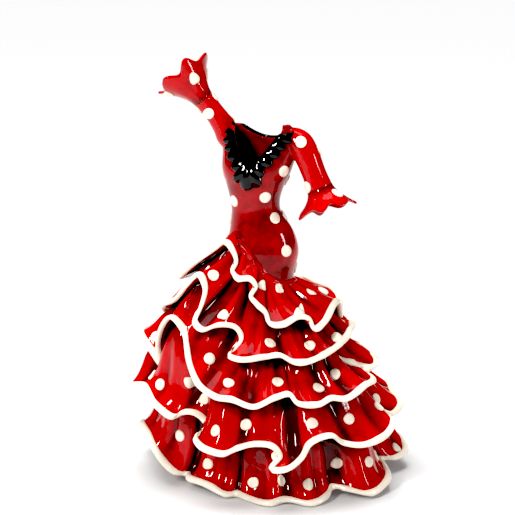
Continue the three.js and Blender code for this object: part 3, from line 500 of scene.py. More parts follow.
class Flounce:
    """The outer face of a flounce as a grid: round its bound edge, and from its seam down to that edge.

    Below the first one, the cloth comes out from right under the edge of the tier above."""

    ROUND = 720
    BANDS = 32
    SEAM_CLEAR = 0.9  # a seam's distance off the underskirt
    SEAM_SUNK = 0.5  # how far the first tier starts inside the sheath's surface
    LIFT_SHARPNESS = 3  # how closely a seam's rise keeps to the gathered side
    UNDER = {"far": (9.0, 5.0), "near": (2.5, 4.2)}  # how far in and below the edge above; near: by the hand
    HAND_SIDE = -92  # the angle at which the tiers lie closest on one another
    HAND_SPAN = 40  # degrees over which that closeness fades out
    LEAST_FALL = (12, 4)  # what shows reaches at least this far out and down
    KICK = 0.45  # how flatly the cloth leaves the tier above, and meets its own edge
    FOLD_SHARES = (0.3, 0.7, 0.55)  # a fold's share under the tier above, below it, and how early that comes
    EVEN = 14  # neighbours to each side over which seams are evened out
    EVEN_EDGE = 51  # the same for an edge, to lose its folds
    EVEN_ANGLE = 72  # the same for the angles that the cloth runs down at
    EVEN_FACE = 20  # the same for the cloth, to tell crests from hollows
    PLEATS = 19  # soft pleats round the tier
    GATHERS = 2.3  # small gathers to a pleat
    FIRST_PLEATS = 0.5  # depth of the first tier's pleats against the others'

    def __init__(self, name, sizes, above=None):
        self.name = name
        self.above = above
        row = FLOUNCES[name]
        folds = row["folds"]
        turn, reach, height = (
            np.array([fold[key] for fold in folds]) for key in ("turn", "reach", "height")
        )
        a = np.radians(turn)
        corners = np.stack([reach * np.sin(a), -reach * np.cos(a), height], -1)
        n = self.ROUND
        self.edge = closed_curve(corners, n)
        even = evened(self.edge, self.EVEN_EDGE)
        angle = np.unwrap(np.arctan2(self.edge[:, 0], -self.edge[:, 1]))
        fair = 2 * np.pi * np.arange(n) / n
        angle = np.degrees(angle[0] + fair + evened(angle - angle[0] - fair, self.EVEN_ANGLE))
        self.seam_angle = angle
        share = ((1 + np.cos(np.radians(angle - LIFT_AT))) / 2) ** self.LIFT_SHARPNESS
        off = self.SEAM_CLEAR if above else -self.SEAM_SUNK
        self.seam = on_body(angle, row["seam"] + row["lift"] * share, off)
        t = np.linspace(0, 1, self.BANDS + 1)
        if above is None:
            self.hidden = np.zeros(n)
            out = np.stack([t ** row["flare"], t ** row["flare"], t], -1)[None]
            self.face = self.seam[:, None] * (1 - out) + even[:, None] * out
            self.shown = np.broadcast_to(t, (n, len(t)))
            fold = t[None] ** sizes.fold_carry
        else:
            self.come_out_under(above, angle, even, t)
            covered, in_view, early = self.FOLD_SHARES
            fold = covered * np.clip(t[None] / self.hidden[:, None], 0, 1) + in_view * self.shown**early
        self.face = self.face + (self.edge - even)[:, None] * fold[..., None]
        self.pleat(sizes.pleat_depth, sizes.gather_depth)
        self.normal = grid_normals(self.face)
        self.depth = self.wash_and_shade_depth()

    def come_out_under(self, above, angle, even, t):
        """Bends the cloth to pass just under the edge above, which covers the share `hidden` of it."""
        reach, height = by_angle(above.edge, 5)
        turn = (angle + np.degrees(np.unwrap(np.arctan2(even[:, 0], -even[:, 1])))) / 2
        reach, height = (np.interp(turn % 360, np.arange(360), v, period=360) for v in (reach, height))
        a = np.radians(turn)
        even_reach = np.hypot(even[:, 0], even[:, 1])
        away = np.abs((turn - self.HAND_SIDE + 180) % 360 - 180)
        near = evened(np.clip(1.5 - away / self.HAND_SPAN, 0, 1), 20)
        inward, below = (f + (n - f) * near for f, n in zip(self.UNDER["far"], self.UNDER["near"]))
        least_out, least_down = self.LEAST_FALL
        reach = np.minimum(reach - inward, even_reach - least_out)
        height = np.maximum(height - below, even[:, 2] + least_down)
        under = evened(np.stack([reach * np.sin(a), -reach * np.cos(a), height], -1), self.EVEN)
        first = np.linalg.norm(under - self.seam, axis=1)
        second = np.linalg.norm(even - under, axis=1)
        self.hidden = evened(first / (first + second), self.EVEN)
        slope = unit(even - self.seam)
        h = self.hidden[:, None]
        u = np.clip(t[None] / h, 0, 1)[..., None]
        v = np.clip((t[None] - h) / (1 - h), 0, 1)[..., None]
        outward = np.stack([np.sin(a), -np.cos(a), np.zeros_like(a)], -1)
        falling = unit(self.KICK * outward - [0, 0, 1])
        kicked_out = unit(outward - [0, 0, self.KICK])
        upper = bent(u, self.seam, under, slope * first[:, None], falling * first[:, None])
        lower = bent(v, under, even, falling * second[:, None], kicked_out * second[:, None])
        self.face = np.where((t[None] < h)[..., None], upper, lower)
        self.shown = v[..., 0]

    def pleat(self, depth, gather):
        """Soft pleats over the part that shows, which die out at the bound edge, and small gathers on them.

        The pleats close round the tier. The gathers don't quite, which leaves a small step at the back."""
        a = np.radians(self.seam_angle)[:, None]
        seed = int(self.name[-1])
        drift = 0.5 * np.sin(5 * a + 2 * seed) * self.shown
        large = np.cos(self.PLEATS * a + 1.6 * np.sin(4 * a + seed) + drift)
        uneven = 0.65 + 0.35 * np.sin(7 * a + 3 * seed)
        small = np.sin(self.GATHERS * self.PLEATS * a + 2.5 * np.sin(3 * a + 2 * seed))
        s = self.shown
        # From a little under the edge above to full, and out again at the bound edge.
        fade = (1 - s) ** 0.6 * (0.5 + s) * np.clip(2.5 * (s + 0.12), 0, 1)
        if self.above is None:
            fade = self.FIRST_PLEATS * np.sin(np.pi * s) ** 2
        push = depth * uneven * large * fade + gather * small * fade
        self.face = self.face + grid_normals(self.face) * push[..., None]
        if self.above is None:
            self.clear_the_body(s)

    def clear_the_body(self, s):
        """Lifts the gathered start of the cloth off the sheath, so that it never sinks back into it."""
        near = self.BANDS // 2
        wall_and_gap = 2.0
        rise = 30  # millimetres that it may lift by over its whole depth
        softness = 3  # how sharply the lift sets in
        start = self.face[:, :near]
        surface, out = out_of_body(start)
        clear = np.sum((start - surface) * out, -1)
        wanted = np.minimum(rise * s[:, :near] - self.SEAM_SUNK, wall_and_gap)
        lift = np.logaddexp(0, softness * (wanted - clear)) / softness
        # None at the seam itself.
        start += out * lift[..., None] * np.clip(8 * s[:, :near], 0, 1)[..., None]

    def wash_and_shade_depth(self):
        """How dark the wash and painted shade make each point: 0 on a crest, 1 deep in a hollow or up under
        the tier above.
        """
        smooth = evened(self.face, self.EVEN_FACE)
        sunk = -np.sum((self.face - smooth) * self.normal, -1)
        depth = np.clip(WASH_AND_SHADE["even"] + WASH_AND_SHADE["per_mm"] * sunk, 0, 1) * WASH_AND_SHADE["most"]
        if self.above is None:
            return depth
        return depth + np.clip(1 - self.shown / WASH_AND_SHADE["under_share"], 0, 1) * WASH_AND_SHADE["under"]

    def at(self, ring, band):
        """Points and normals at fractional places of the grid."""
        ring = np.asarray(ring, float) % self.ROUND
        band = np.clip(np.asarray(band, float), 0, self.BANDS - 1e-3)
        i, j = np.floor(ring).astype(int), np.floor(band).astype(int)
        u, v = (ring - i)[..., None], (band - j)[..., None]
        i2 = (i + 1) % self.ROUND

        def mix(grid):
            near = grid[i, j] * (1 - u) + grid[i2, j] * u
            far = grid[i, j + 1] * (1 - u) + grid[i2, j + 1] * u
            return near * (1 - v) + far * v

        return mix(self.face), unit(mix(self.normal))


def sleeve_stations(table, shares):
    """Middle, direction, two axes across and radius at shares of a sleeve's length."""
    keyed = [{**row, "i": k / (len(table) - 1)} for k, row in enumerate(table)]

    def at(u):
        return np.stack([column(keyed, "i", name, u) for name in ("x", "y", "z")], -1)

    step = 0.01
    along = unit(at(np.minimum(shares + step, 1)) - at(np.maximum(shares - step, 0)))
    across = unit(np.cross([0, -1, 0], along))
    return at(shares), along, across, np.cross(along, across), column(keyed, "i", "radius", shares)


def sleeve_rings(table, grow, more=0.0, around=96, stations=60):
    """Rings of a sleeve, its radius changed by `grow`, and longer by `more` at its cuff end."""
    middle, along, across, up, radius = sleeve_stations(table, np.linspace(0, 1, stations))
    a = np.linspace(0, 2 * np.pi, around, endpoint=False)[None, :, None]
    radius = (radius + grow)[:, None, None]
    rings = middle[:, None] + radius * (across[:, None] * np.cos(a) + up[:, None] * np.sin(a))
    if more:
        rings = np.concatenate([rings, rings[-1:] + more * along[-1]])
    return rings


class Cuff:
    """The outer face of a flared cuff as a grid, round its edge and from its seam out."""

    ROUND = 240
    BANDS = 18
    INTO_SLEEVE = 1.2  # how far its start reaches back over the sleeve's end
    FLARE = 1.5  # how late it widens
    WAVE_CARRY = 1.3  # how late its waves come in
    SEAM_WASH_AND_SHADE = (0.3, 0.35)  # the dark wash and painted shade per millimetre sunk, and the painted shade that the seam's crease adds

    def __init__(self, name):
        cuff = CUFFS[name]
        table = SLEEVE_TABLES[cuff["of"]]
        middle, along, across, up, radius = (v[0] for v in sleeve_stations(table, np.array([1.0])))
        open_middle = np.array([cuff["x"], cuff["y"], cuff["z"]])
        open_along = unit(open_middle - middle)
        open_across = unit(np.cross([0, -1, 0], open_along))
        open_up = np.cross(open_along, open_across)
        share = -np.arange(self.ROUND) / self.ROUND
        a = (2 * np.pi * share)[:, None, None]
        t = np.linspace(0, 1, self.BANDS + 1)[None, :, None]
        wave = np.cos(cuff["waves"] * a + cuff["phase"]) + 0.3 * np.cos((2 * cuff["waves"] - 3) * a + 1)
        wave = wave * t**self.WAVE_CARRY
        reach = radius + (cuff["radius"] - radius) * t**self.FLARE + cuff["reach"] * wave
        start = middle + GAP * along - self.INTO_SLEEVE * along * (1 - t) ** 4
        centre = start * (1 - t) + open_middle * t + open_along * cuff["drop"] * wave
        right = unit(across * (1 - t) + open_across * t)
        high = unit(up * (1 - t) + open_up * t)
        self.face = centre + reach * (right * np.cos(a) + high * np.sin(a))
        self.normal = grid_normals(self.face)
        # Darker in the hollows and at the seam's crease: partly a wash, partly painted shade.
        sunk = -np.sum((self.face - evened(self.face, 12)) * self.normal, -1)
        per_mm, crease = self.SEAM_WASH_AND_SHADE
        self.depth = 0.8 * np.clip(0.3 + per_mm * sunk, 0, 1) + crease * np.clip(1 - 3 * t[..., 0], 0, 1)

    at = Flounce.at


def neckline(count):
    """The neckline on the body, from the foot of the V round by the left shoulder and the nape."""
    turn = math.radians(FACING)
    across, ahead = np.array([math.cos(turn), math.sin(turn)]), np.array([-math.sin(turn), math.cos(turn)])

    def half(table, front, hand):
        points = []
        for row in table:
            _, _, wide, deep, _ = section(row["z"])
            reach = deep * math.sqrt(max(0.02, 1 - (row["side"] / wide) ** 2)) * (-1 if front else 1)
            x, y = hand * row["side"] * across + reach * ahead
            points.append((NECK_X + x, y, row["z"]))
        return points

    corners = half(NECK_FRONT[:-1], True, 1) + half(NECK_BACK[:-1], False, 1)[::-1]
    corners += half(NECK_BACK[1:-1], False, -1) + half(NECK_FRONT[1:-1], True, -1)[::-1]
    return closed_curve(corners, count)


def sleeve_at(table):
    """Points and normals of a sleeve at angles round it, in degrees, and shares of its length."""

    def at(degrees, share):
        shape = np.broadcast_shapes(np.shape(degrees), np.shape(share))
        share = np.broadcast_to(share, shape).ravel()
        a = np.radians(np.broadcast_to(degrees, shape).ravel())[:, None]
        middle, _, across, up, radius = sleeve_stations(table, share)
        out = across * np.cos(a) + up * np.sin(a)
        points = middle + radius[:, None] * out
        return points.reshape(*shape, 3), out.reshape(*shape, 3)

    return at


def body_at(degrees, z):
    """Points and normals of the sheath at angles from straight ahead and heights."""
    points = on_body(degrees, z)
    return points, out_of_body(points)[1]


def raised_dot(at, place, steps, radius, height):
    """A dot made from the points of the surface it lies on: a low dome with a steep side."""
    a, b = place
    centre, normal = at(np.array([a]), np.array([b]))
    one = np.array([-1.0, 1.0])
    across = at(a + steps[0] * one, b + 0 * one)[0]
    down = at(a + 0 * one, b + steps[1] * one)[0]
    e1, e2 = (across[1] - across[0]) / (2 * steps[0]), (down[1] - down[0]) / (2 * steps[1])
    u = unit(e1)
    v = np.cross(normal[0], u)
    inverse = np.linalg.pinv(np.stack([e1, e2], 1))
    round_count = 28
    phi = np.linspace(0, 2 * np.pi, round_count, endpoint=False)
    # Shares of the dot's radius and of its height. The last ring is sunk into the cloth.
    profile = ((0.3, 1.0), (0.6, 0.97), (0.82, 0.88), (0.93, 0.68), (0.99, 0.35), (1.0, -0.5))
    points = [centre[0] + normal[0] * height]
    for share, lift in profile:
        reach = radius * share * (1 + 0.03 * np.sin(2 * phi + a))
        offsets = (reach * np.cos(phi))[:, None] * u + (reach * np.sin(phi))[:, None] * v
        moves = offsets @ inverse.T
        p, n = at(a + moves[:, 0], b + moves[:, 1])
        points.extend(p + n * height * lift)
    faces = [[0, 1 + k, 1 + (k + 1) % round_count] for k in range(round_count)]
    for ring in range(len(profile) - 1):
        low = 1 + ring * round_count
        for k in range(round_count):
            k2 = (k + 1) % round_count
            faces.append([low + k, low + round_count + k, low + round_count + k2, low + k2])
    faces.append([1 + (len(profile) - 1) * round_count + k for k in range(round_count)][::-1])
    return new_object("dot", np.array(points), faces)


def dots_on(name, at, places, steps, sizes):
    """All the dots of a panel as one joined piece."""
    made = [raised_dot(at, place, steps, sizes.dot_width / 2, sizes.dot_height) for place in places]
    return finish_piece(join(made, name), "ivory_enamel")


# ---- finishes ----

CLOUD_SIZE = 9.0  # how large the enamel's uneven patches are
BRUSH_WAVE = 5.0  # the slow waves that a brush leaves
PEEL_SIZE = 0.9  # the fine unevenness of dried enamel, drawn coarser than it is so that it shows


def linear(hex_colour):
    """An sRGB hex colour as linear values."""
    parts = [int(hex_colour[k : k + 2], 16) / 255 for k in (1, 3, 5)]
    return tuple(c / 12.92 if c <= 0.04045 else ((c + 0.055) / 1.055) ** 2.4 for c in parts)


def add_node(tree, kind, settings=None, inputs=None):
    """Adds a node with its settings. An input's value is a number, a colour or another node's output."""
    node = tree.nodes.new(kind)
    for key, value in (settings or {}).items():
        setattr(node, key, value)
    for key, value in (inputs or {}).items():
        if isinstance(value, bpy.types.NodeSocket):
            tree.links.new(value, node.inputs[key])
        else:
            node.inputs[key].default_value = value
    return node


def gloss_enamel(name, bright, deep, gloss, wash_and_shade):
    """Gloss enamel brushed thickly on cast resin.

    The eye gets sharp wet highlights that wobble over the brush's slow waves, a colour that is bright on
    the crests, and a dark colour in the folds that is partly a wash that has run there and partly painted
    shade."""
    material = bpy.data.materials.new(name)
    material.use_nodes = True
    tree = material.node_tree
    shader = tree.nodes["Principled BSDF"]
    place = add_node(tree, "ShaderNodeTexCoord").outputs["Object"]
    cloudy = add_node(
        tree, "ShaderNodeTexNoise", {},
        {"Vector": place, "Scale": 1 / (CLOUD_SIZE * MM), "Detail": 4.0, "Roughness": 0.6},
    )
    # How dark the wash and painted shade are at each point.
    deep_in = add_node(tree, "ShaderNodeAttribute", {"attribute_name": "wash_and_shade_depth"})
    patchy = add_node(
        tree, "ShaderNodeMath", {"operation": "MULTIPLY_ADD"},
        {0: cloudy.outputs["Fac"], 1: 0.7, 2: deep_in.outputs["Fac"]},
    )
    spread = add_node(
        tree, "ShaderNodeMapRange", {"interpolation_type": "SMOOTHSTEP"},
        {"Value": patchy.outputs[0], "From Min": wash_and_shade[0], "From Max": wash_and_shade[1]},
    )
    colour = add_node(
        tree, "ShaderNodeMix", {"data_type": "RGBA"},
        {"Factor": spread.outputs["Result"], "A": (*bright, 1), "B": (*deep, 1)},
    )
    tree.links.new(colour.outputs["Result"], shader.inputs["Base Color"])
    waves = add_node(
        tree, "ShaderNodeTexNoise", {},
        {"Vector": place, "Scale": 1 / (BRUSH_WAVE * MM), "Detail": 2.0, "Roughness": 0.45},
    )
    slow = add_node(
        tree, "ShaderNodeBump", {}, {"Height": waves.outputs["Fac"], "Strength": 0.5, "Distance": 0.5 * MM}
    )
    grain = add_node(
        tree, "ShaderNodeTexNoise", {}, {"Vector": place, "Scale": 1 / (PEEL_SIZE * MM), "Detail": 2.0}
    )
    fine = add_node(
        tree, "ShaderNodeBump", {},
        {
            "Height": grain.outputs["Fac"], "Strength": 0.25, "Distance": 0.06 * MM,
            "Normal": slow.outputs["Normal"],
        },
    )
    tree.links.new(fine.outputs["Normal"], shader.inputs["Normal"])
    rough = add_node(
        tree, "ShaderNodeMapRange", {},
        {
            "Value": cloudy.outputs["Fac"], "From Min": 0.3, "From Max": 0.7,
            "To Min": gloss[0], "To Max": gloss[1],
        },
    )
    tree.links.new(rough.outputs["Result"], shader.inputs["Roughness"])
    shader.inputs["IOR"].default_value = 1.5
    shader.inputs["Coat Weight"].default_value = 0.25
    shader.inputs["Coat Roughness"].default_value = 0.03
    return material


# What each slot of the record really is, and its gloss, wash and painted shade: the roughness of its wettest
# and driest patches, and the fold depths between which the dark colour, partly wash and partly painted
# shade, comes in.
FINISHES = {
    "red_enamel": {
        "is": "red gloss enamel on cast resin", "bright": "red", "deep": "deep_red",
        "gloss": (0.08, 0.16), "wash_and_shade": (0.45, 1.1),
    },
    "ivory_enamel": {
        "is": "ivory gloss enamel on cast resin", "bright": "ivory", "deep": "ivory_wash",
        "gloss": (0.16, 0.3), "wash_and_shade": (0.25, 1.0),
    },
    "black_enamel": {
        "is": "black gloss enamel on cast resin", "bright": "black", "deep": "black_wash",
        "gloss": (0.06, 0.14), "wash_and_shade": (0.3, 0.9),
    },
}


def finish_of(slot):
    """The finish of a record slot, made once."""
    row = FINISHES[slot]
    made = bpy.data.materials.get(row["is"])
    if made:
        return made
    colours = bpy.context.scene.dress_colours
    bright, deep = getattr(colours, row["bright"]), getattr(colours, row["deep"])
    return gloss_enamel(row["is"], bright, deep, row["gloss"], row["wash_and_shade"])


def finish_piece(piece, slot, *nodes):
    """Gives a piece its finish and its place in the frame."""
    piece.data.materials.clear()
    piece.data.materials.append(finish_of(slot))
    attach(piece, "root")
    if nodes:
        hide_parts(*nodes)
    return piece


def cloth_area(piece):
    """One side's area of a thin shell, in square metres."""
    return sum(face.area for face in piece.data.polygons) / 2


def declare(piece, width, length, held, rests_on=(), with_pieces=()):
    """Prints a sheet's cut of what shows, in millimetres, and the share of that cut which one side of the
    sheet covers. The area stated is never over the cut's.
    """
    share = cloth_area(piece) / (width * length * MM * MM)
    print(f"CUT {piece.name} {width:.0f} x {length:.0f} mm, {share:.2f} of it")


# ---- sizes and colours that a user would change ----


def millimetres(name, description, default):
    """A size that a user may change, in millimetres."""
    return FloatProperty(name=name, description=description + ", in mm", default=default, min=0)


class DressSizes(bpy.types.PropertyGroup):
    wall: millimetres("Cloth", "Thickness of the cast cloth", 1.4)
    binding_width: millimetres("Binding width", "Width of the bound edge", 4.5)
    binding_thick: millimetres("Binding height", "Thickness of the bound edge", 3.0)
    dot_width: millimetres("Dot width", "Width of a raised dot", 7.0)
    dot_height: millimetres("Dot height", "How far a dot stands out", 1.0)
    frill_width: millimetres("Frill width", "Width of the neck frill", 6.6)
    frill_wave: millimetres("Frill wave", "Depth of the frill's scallops", 0.9)
    frill_scallops: IntProperty(name="Frill scallops", description="Scallops round the neck", default=25)
    fold_carry: FloatProperty(
        name="Fold carry", description="How soon the first tier's folds die out towards its seam",
        default=0.68, subtype="FACTOR",
    )
    pleat_depth: millimetres("Pleats", "Depth of the soft pleats", 3.4)
    gather_depth: millimetres("Gathers", "Depth of the small gathers", 0.7)


def colour(name, description, hex_colour):
    shown = {"name": name, "description": description, "subtype": "COLOR"}
    return FloatVectorProperty(default=linear(hex_colour), size=3, min=0, max=1, **shown)


class DressColours(bpy.types.PropertyGroup):
    red: colour("Red", "Enamel on the crests", "#ba0009")
    # The deep red is the enamel's colour in the folds: partly a wash, partly painted shade.
    deep_red: colour("Deep red", "Enamel under the dark wash", "#500206")
    ivory: colour("Ivory", "Enamel of the bindings and dots", "#f3ead9")
    ivory_wash: colour("Ivory wash", "Where the wash tints the ivory", "#d9b9a0")
    black: colour("Black", "Enamel of the frill", "#08080a")
    black_wash: colour("Black wash", "The frill's thinner patches", "#1c1d22")


# ---- pieces ----


def chest_prism(table, front):
    """The neck opening pushed through the chest's front or back."""
    u = np.linspace(0, 1, 24)
    keyed = [{**row, "i": k / (len(table) - 1)} for k, row in enumerate(table)]
    side, z = column(keyed, "i", "side", u), column(keyed, "i", "z", u)
    side, z = np.append(side, side[-1]), np.append(z, 240)
    side, z = np.concatenate([side, -side[:0:-1]]), np.concatenate([z, z[:0:-1]])
    turn = math.radians(FACING)
    rings = []
    for push in ((0, -40) if front else (40, 0)):
        x = NECK_X + side * math.cos(turn) - push * math.sin(turn)
        rings.append(np.stack([x, side * math.sin(turn) + push * math.cos(turn), z], -1))
    return rod("neck cut", np.array(rings))


def body_rod(name, bottom, grow):
    """The sheath's form from a height up, closed over the shoulders."""
    top = BODY[-1]["z"]
    z = np.concatenate([np.linspace(bottom, SHOULDER, 90), np.linspace(SHOULDER, top, 14)[1:]])
    around = np.linspace(0, 360, 144, endpoint=False)
    rings = on_body(around[None], z[:, None], grow)
    rings[..., 2] += grow * np.clip((z - SHOULDER) / (top - SHOULDER), 0, 1)[:, None]
    return rod(name, rings)


class DRESS_OT_sheath(bpy.types.Operator):
    """The close sheath and both sleeves, joined at the shoulders as they are cast, with their dots"""

    bl_idname = "dress.sheath"
    bl_label = "Sheath and sleeves"

    def execute(self, context):
        sizes = context.scene.dress_sizes
        sheath = body_rod("sheath", HIP_SEAM, 0)
        for table in SLEEVE_TABLES.values():
            boolean(sheath, rod("sleeve", sleeve_rings(table, 0)), "UNION")
        boolean(sheath, body_rod("inside", HIP_SEAM - 5, -sizes.wall), "DIFFERENCE")
        for table in SLEEVE_TABLES.values():
            boolean(sheath, rod("inside", sleeve_rings(table, -sizes.wall, 5)), "DIFFERENCE")
        boolean(sheath, chest_prism(NECK_FRONT, True), "DIFFERENCE")
        boolean(sheath, chest_prism(NECK_BACK, False), "DIFFERENCE")
        cast_soft(sheath, CAST_VOXEL, CAST_ROUNDS)
        z = np.array([v.co.z for v in sheath.data.vertices]) / MM
        x = np.array([v.co.x for v in sheath.data.vertices]) / MM
        # The wash and painted shade: the sleeves' share is full on the arms past 24 mm from the waist's
        # middle, and the hip's added painted shade is full below 124 mm.
        on_arms = np.clip((np.abs(x + 6) - 18) / 6, 0, 1)
        on_hip = np.clip((138 - z) / 14, 0, 1)
        wash_and_shade = SHEATH_WASH_AND_SHADE
        paint_depth(sheath, wash_and_shade["body"] + (wash_and_shade["arms"] - wash_and_shade["body"]) * on_arms + wash_and_shade["hip"] * on_hip)
        finish_piece(sheath, "red_enamel", "bodice_front", "bodice_back", "sleeve_left", "sleeve_right")
        dots = dots_on("sheath_dots", body_at, sheath_dots(), (1.0, 0.5), sizes)
        arms = [
            dots_on(name + "_dots", sleeve_at(table), SLEEVE_DOTS[name], (2.0, 0.02), sizes)
            for name, table in SLEEVE_TABLES.items()
        ]
        declare(sheath, *CUTS["sheath"], "stretched", with_pieces=[dots, *arms])
        return {"FINISHED"}


class DRESS_OT_underskirt(bpy.types.Operator):
    """The plain underskirt, with a turned-in hem that the dress stands on"""

    bl_idname = "dress.underskirt"
    bl_label = "Underskirt"

    def execute(self, context):
        wall = context.scene.dress_sizes.wall
        around = np.linspace(0, 360, 200, endpoint=False)[:, None]
        down = np.linspace(HIP_SEAM - GAP, 0.6, 60)
        outer = on_body(around, down[None])
        foot = [on_body(around, 0.15, -0.15), on_body(around, 0, -0.6), on_body(around, 0, -HEM["width"])]
        foot.append(on_body(around, HEM["height"], -HEM["width"]))
        inner = on_body(around, np.linspace(HEM["height"], HIP_SEAM - GAP, 60)[None], -wall)
        sections = np.concatenate([outer, *foot, inner], axis=1)
        skirt = ring_solid("underskirt", sections)
        # Darkened all over as it lies under the flounces: partly wash, partly painted shade.
        paint_depth(skirt, np.full(len(skirt.data.vertices), INSIDE_WASH_AND_SHADE))
        finish_piece(skirt, "red_enamel", "skirt_front", "skirt_back")
        declare(skirt, *CUTS["underskirt"], "hung")
        return {"FINISHED"}


def binding_sections(flounce, sizes):
    """Oval sections of a bound edge, a little uneven as it is painted by hand."""
    middle = flounce.edge
    down = unit(flounce.face[:, -1] - flounce.face[:, -3])
    out = flounce.normal[:, -1]
    a = np.linspace(0, 2 * np.pi, 14, endpoint=False)
    run = 2 * np.pi * np.arange(len(middle)) / len(middle)
    uneven = (1 + 0.05 * np.sin(23 * run + 2 * np.sin(5 * run)))[:, None, None]
    middle = middle - out * (sizes.wall / 2 - 0.35) + down * 0.1
    wide = down[:, None] * (sizes.binding_width / 2 * np.cos(a))[None, :, None]
    thick = out[:, None] * (sizes.binding_thick / 2 * np.sin(a))[None, :, None]
    return middle[:, None] + (wide + thick) * uneven


class DRESS_OT_flounces(bpy.types.Operator):
    """The five gathered flounces, each with its bound edge and its dots"""

    bl_idname = "dress.flounces"
    bl_label = "Flounces"

    def execute(self, context):
        sizes = context.scene.dress_sizes
        flounce = None
        for name in FLOUNCES:
            flounce = Flounce(name, sizes, flounce)
            cloth = ring_solid(name, shell_sections(flounce.face, sizes.wall))
            depth = flounce.depth
            # The inside of the cloth is darkened evenly: partly wash, partly painted shade.
            inside = np.full_like(depth, INSIDE_WASH_AND_SHADE)
            paint_depth(cloth, np.concatenate([depth[:, :1], depth, depth[:, -1:], inside], axis=1))
            finish_piece(cloth, "red_enamel", name)
            edge_name = name.replace("flounce", "binding")
            binding = ring_solid(edge_name, binding_sections(flounce, sizes))
            finish_piece(binding, "ivory_enamel", edge_name)
            places = [self.grid_place(flounce, turn, share) for turn, share in flounce_dots(name)]
            dots = dots_on(name + "_dots", flounce.at, places, (2.0, 0.5), sizes)
            edge = np.linalg.norm(flounce.edge - np.roll(flounce.edge, 1, axis=0), axis=1).sum()
            depth_mm = cloth_area(cloth) / (MM * MM) / edge
            deep = round(depth_mm * GATHER_ALLOWANCE)
            declare(cloth, round(edge), deep, "gathered", ["underskirt"], [binding, dots])
        return {"FINISHED"}

    @staticmethod
    def grid_place(flounce, turn, share):
        """Where on the grid a dot lies, from its angle on the seam and its share of the part that shows."""
        away = np.abs((flounce.seam_angle - turn + 180) % 360 - 180)
        ring = int(np.argmin(away))
        hidden = flounce.hidden[ring]
        return float(ring), (hidden + (1 - hidden) * share) * flounce.BANDS


class DRESS_OT_cuffs(bpy.types.Operator):
    """The flared, scalloped cuffs with their dots"""

    bl_idname = "dress.cuffs"
    bl_label = "Cuffs"

    def execute(self, context):
        sizes = context.scene.dress_sizes
        for name in CUFFS:
            cuff = Cuff(name)
            piece = ring_solid(name, shell_sections(cuff.face, sizes.wall))
            depth = cuff.depth
            # The inside of the cloth is darkened evenly: partly wash, partly painted shade.
            inside = np.full_like(depth, INSIDE_WASH_AND_SHADE)
            paint_depth(piece, np.concatenate([depth[:, :1], depth, depth[:, -1:], inside], axis=1))
            finish_piece(piece, "red_enamel", name)
            places = [(-turn / 360 * cuff.ROUND, share * cuff.BANDS) for turn, share in CUFF_DOTS[name]]
            dots = dots_on(name + "_dots", cuff.at, places, (1.5, 0.5), sizes)
            declare(piece, *CUTS["cuff"], "gathered", [], [dots])
        return {"FINISHED"}


class DRESS_OT_frill(bpy.types.Operator):
    """The black scalloped frill round the neck"""

    bl_idname = "dress.frill"
    bl_label = "Neck frill"

    def execute(self, context):
        sizes = context.scene.dress_sizes
        count = FRILL["points"]
        line = neckline(count)
        length = np.linalg.norm(line - np.roll(line, 1, axis=0), axis=1).sum()
        seat, normal = out_of_body(line)
        along = unit(np.roll(line, -1, axis=0) - np.roll(line, 1, axis=0))
        away = unit(np.cross(along, normal))
        away = unit(evened(away, 6))
        share = np.arange(count) / count
        rim = seat + away * sizes.frill_width
        run = np.cumsum(np.linalg.norm(rim - np.roll(rim, 1, axis=0), axis=1))
        phase = 2 * np.pi * sizes.frill_scallops * run / run[-1] + 0.6 * np.sin(2 * np.pi * 5 * share)
        lobe = np.abs(np.cos(phase / 2)) ** FRILL["notch"]  # round lobes, and notches between them
        from_point = np.minimum(share, 1 - share) * length
        point = 1 + FRILL["tip"] * np.exp(-((from_point / FRILL["tip_width"]) ** 2))
        width = sizes.frill_width * point - sizes.frill_wave + 2 * sizes.frill_wave * lobe
        across = np.linspace(0, 1, 14)
        inward = FRILL["inward"]
        lobe_lift, notch_drop, twist = FRILL["ruffle"]
        outer = []
        for u in across:
            spot, out = out_of_body(seat + away * ((width + inward) * u - inward)[:, None])
            ruffle = u * (lobe_lift * lobe - notch_drop) + twist * u * np.sin(phase + 1.2)
            rise = FRILL["lift"] + FRILL["middle_lift"] * math.sin(math.pi * u) + ruffle
            outer.append(spot + out * rise[:, None])
        piece = ring_solid("neck_frill", shell_sections(np.stack(outer, 1), FRILL["thick"]))
        finish_piece(piece, "black_enamel", "neck_frill")
        declare(piece, round(length * GATHER_ALLOWANCE), CUTS["frill_depth"], "gathered", ["sheath"])
        return {"FINISHED"}


# ---- stage ----

FLOOR_HALF = 20.0  # metres, so that the paper runs out of sight
PAPER = {"colour": 0.6, "roughness": 0.6, "glow": 0.1}
ROOM_LIGHT = 0.15  # the white room's own light
# A broad panel overhead: power, how wide it looks and how far it's tilted, in degrees.
PANEL = {"power": 4.0, "angle": 50, "tilt": (-12, -8)}
# Softboxes: name, place in metres, width and height in metres, power in watts.
LIGHTS = (
    ("softbox left", (-0.6, -0.8, 0.75), (0.09, 0.36), 9.0),
    ("softbox right", (0.9, -0.45, 0.4), (0.1, 0.4), 2.5),
    ("softbox above", (0.05, 0.1, 1.0), (0.5, 0.4), 1.0),
)
# The camera: its distance and the width of its view at the dress in metres, degrees above level, what it
# aims at in millimetres, and its sensor's width.
CAMERA = {"away": 1.1, "view": 0.309, "above": 15, "aim": (-7.1, -3.9, 133.8), "sensor": 36}
LEVELS = {"black": 0.05, "white": 0.88}  # for deep blacks and a clean white floor


def aimed(name, data, place, target):
    """A lamp or camera at a place, turned to look at a target."""
    thing = bpy.data.objects.new(name, data)
    thing.location = place
    thing.rotation_euler = (target - thing.location).to_track_quat("-Z", "Y").to_euler()
    bpy.context.collection.objects.link(thing)
    return thing


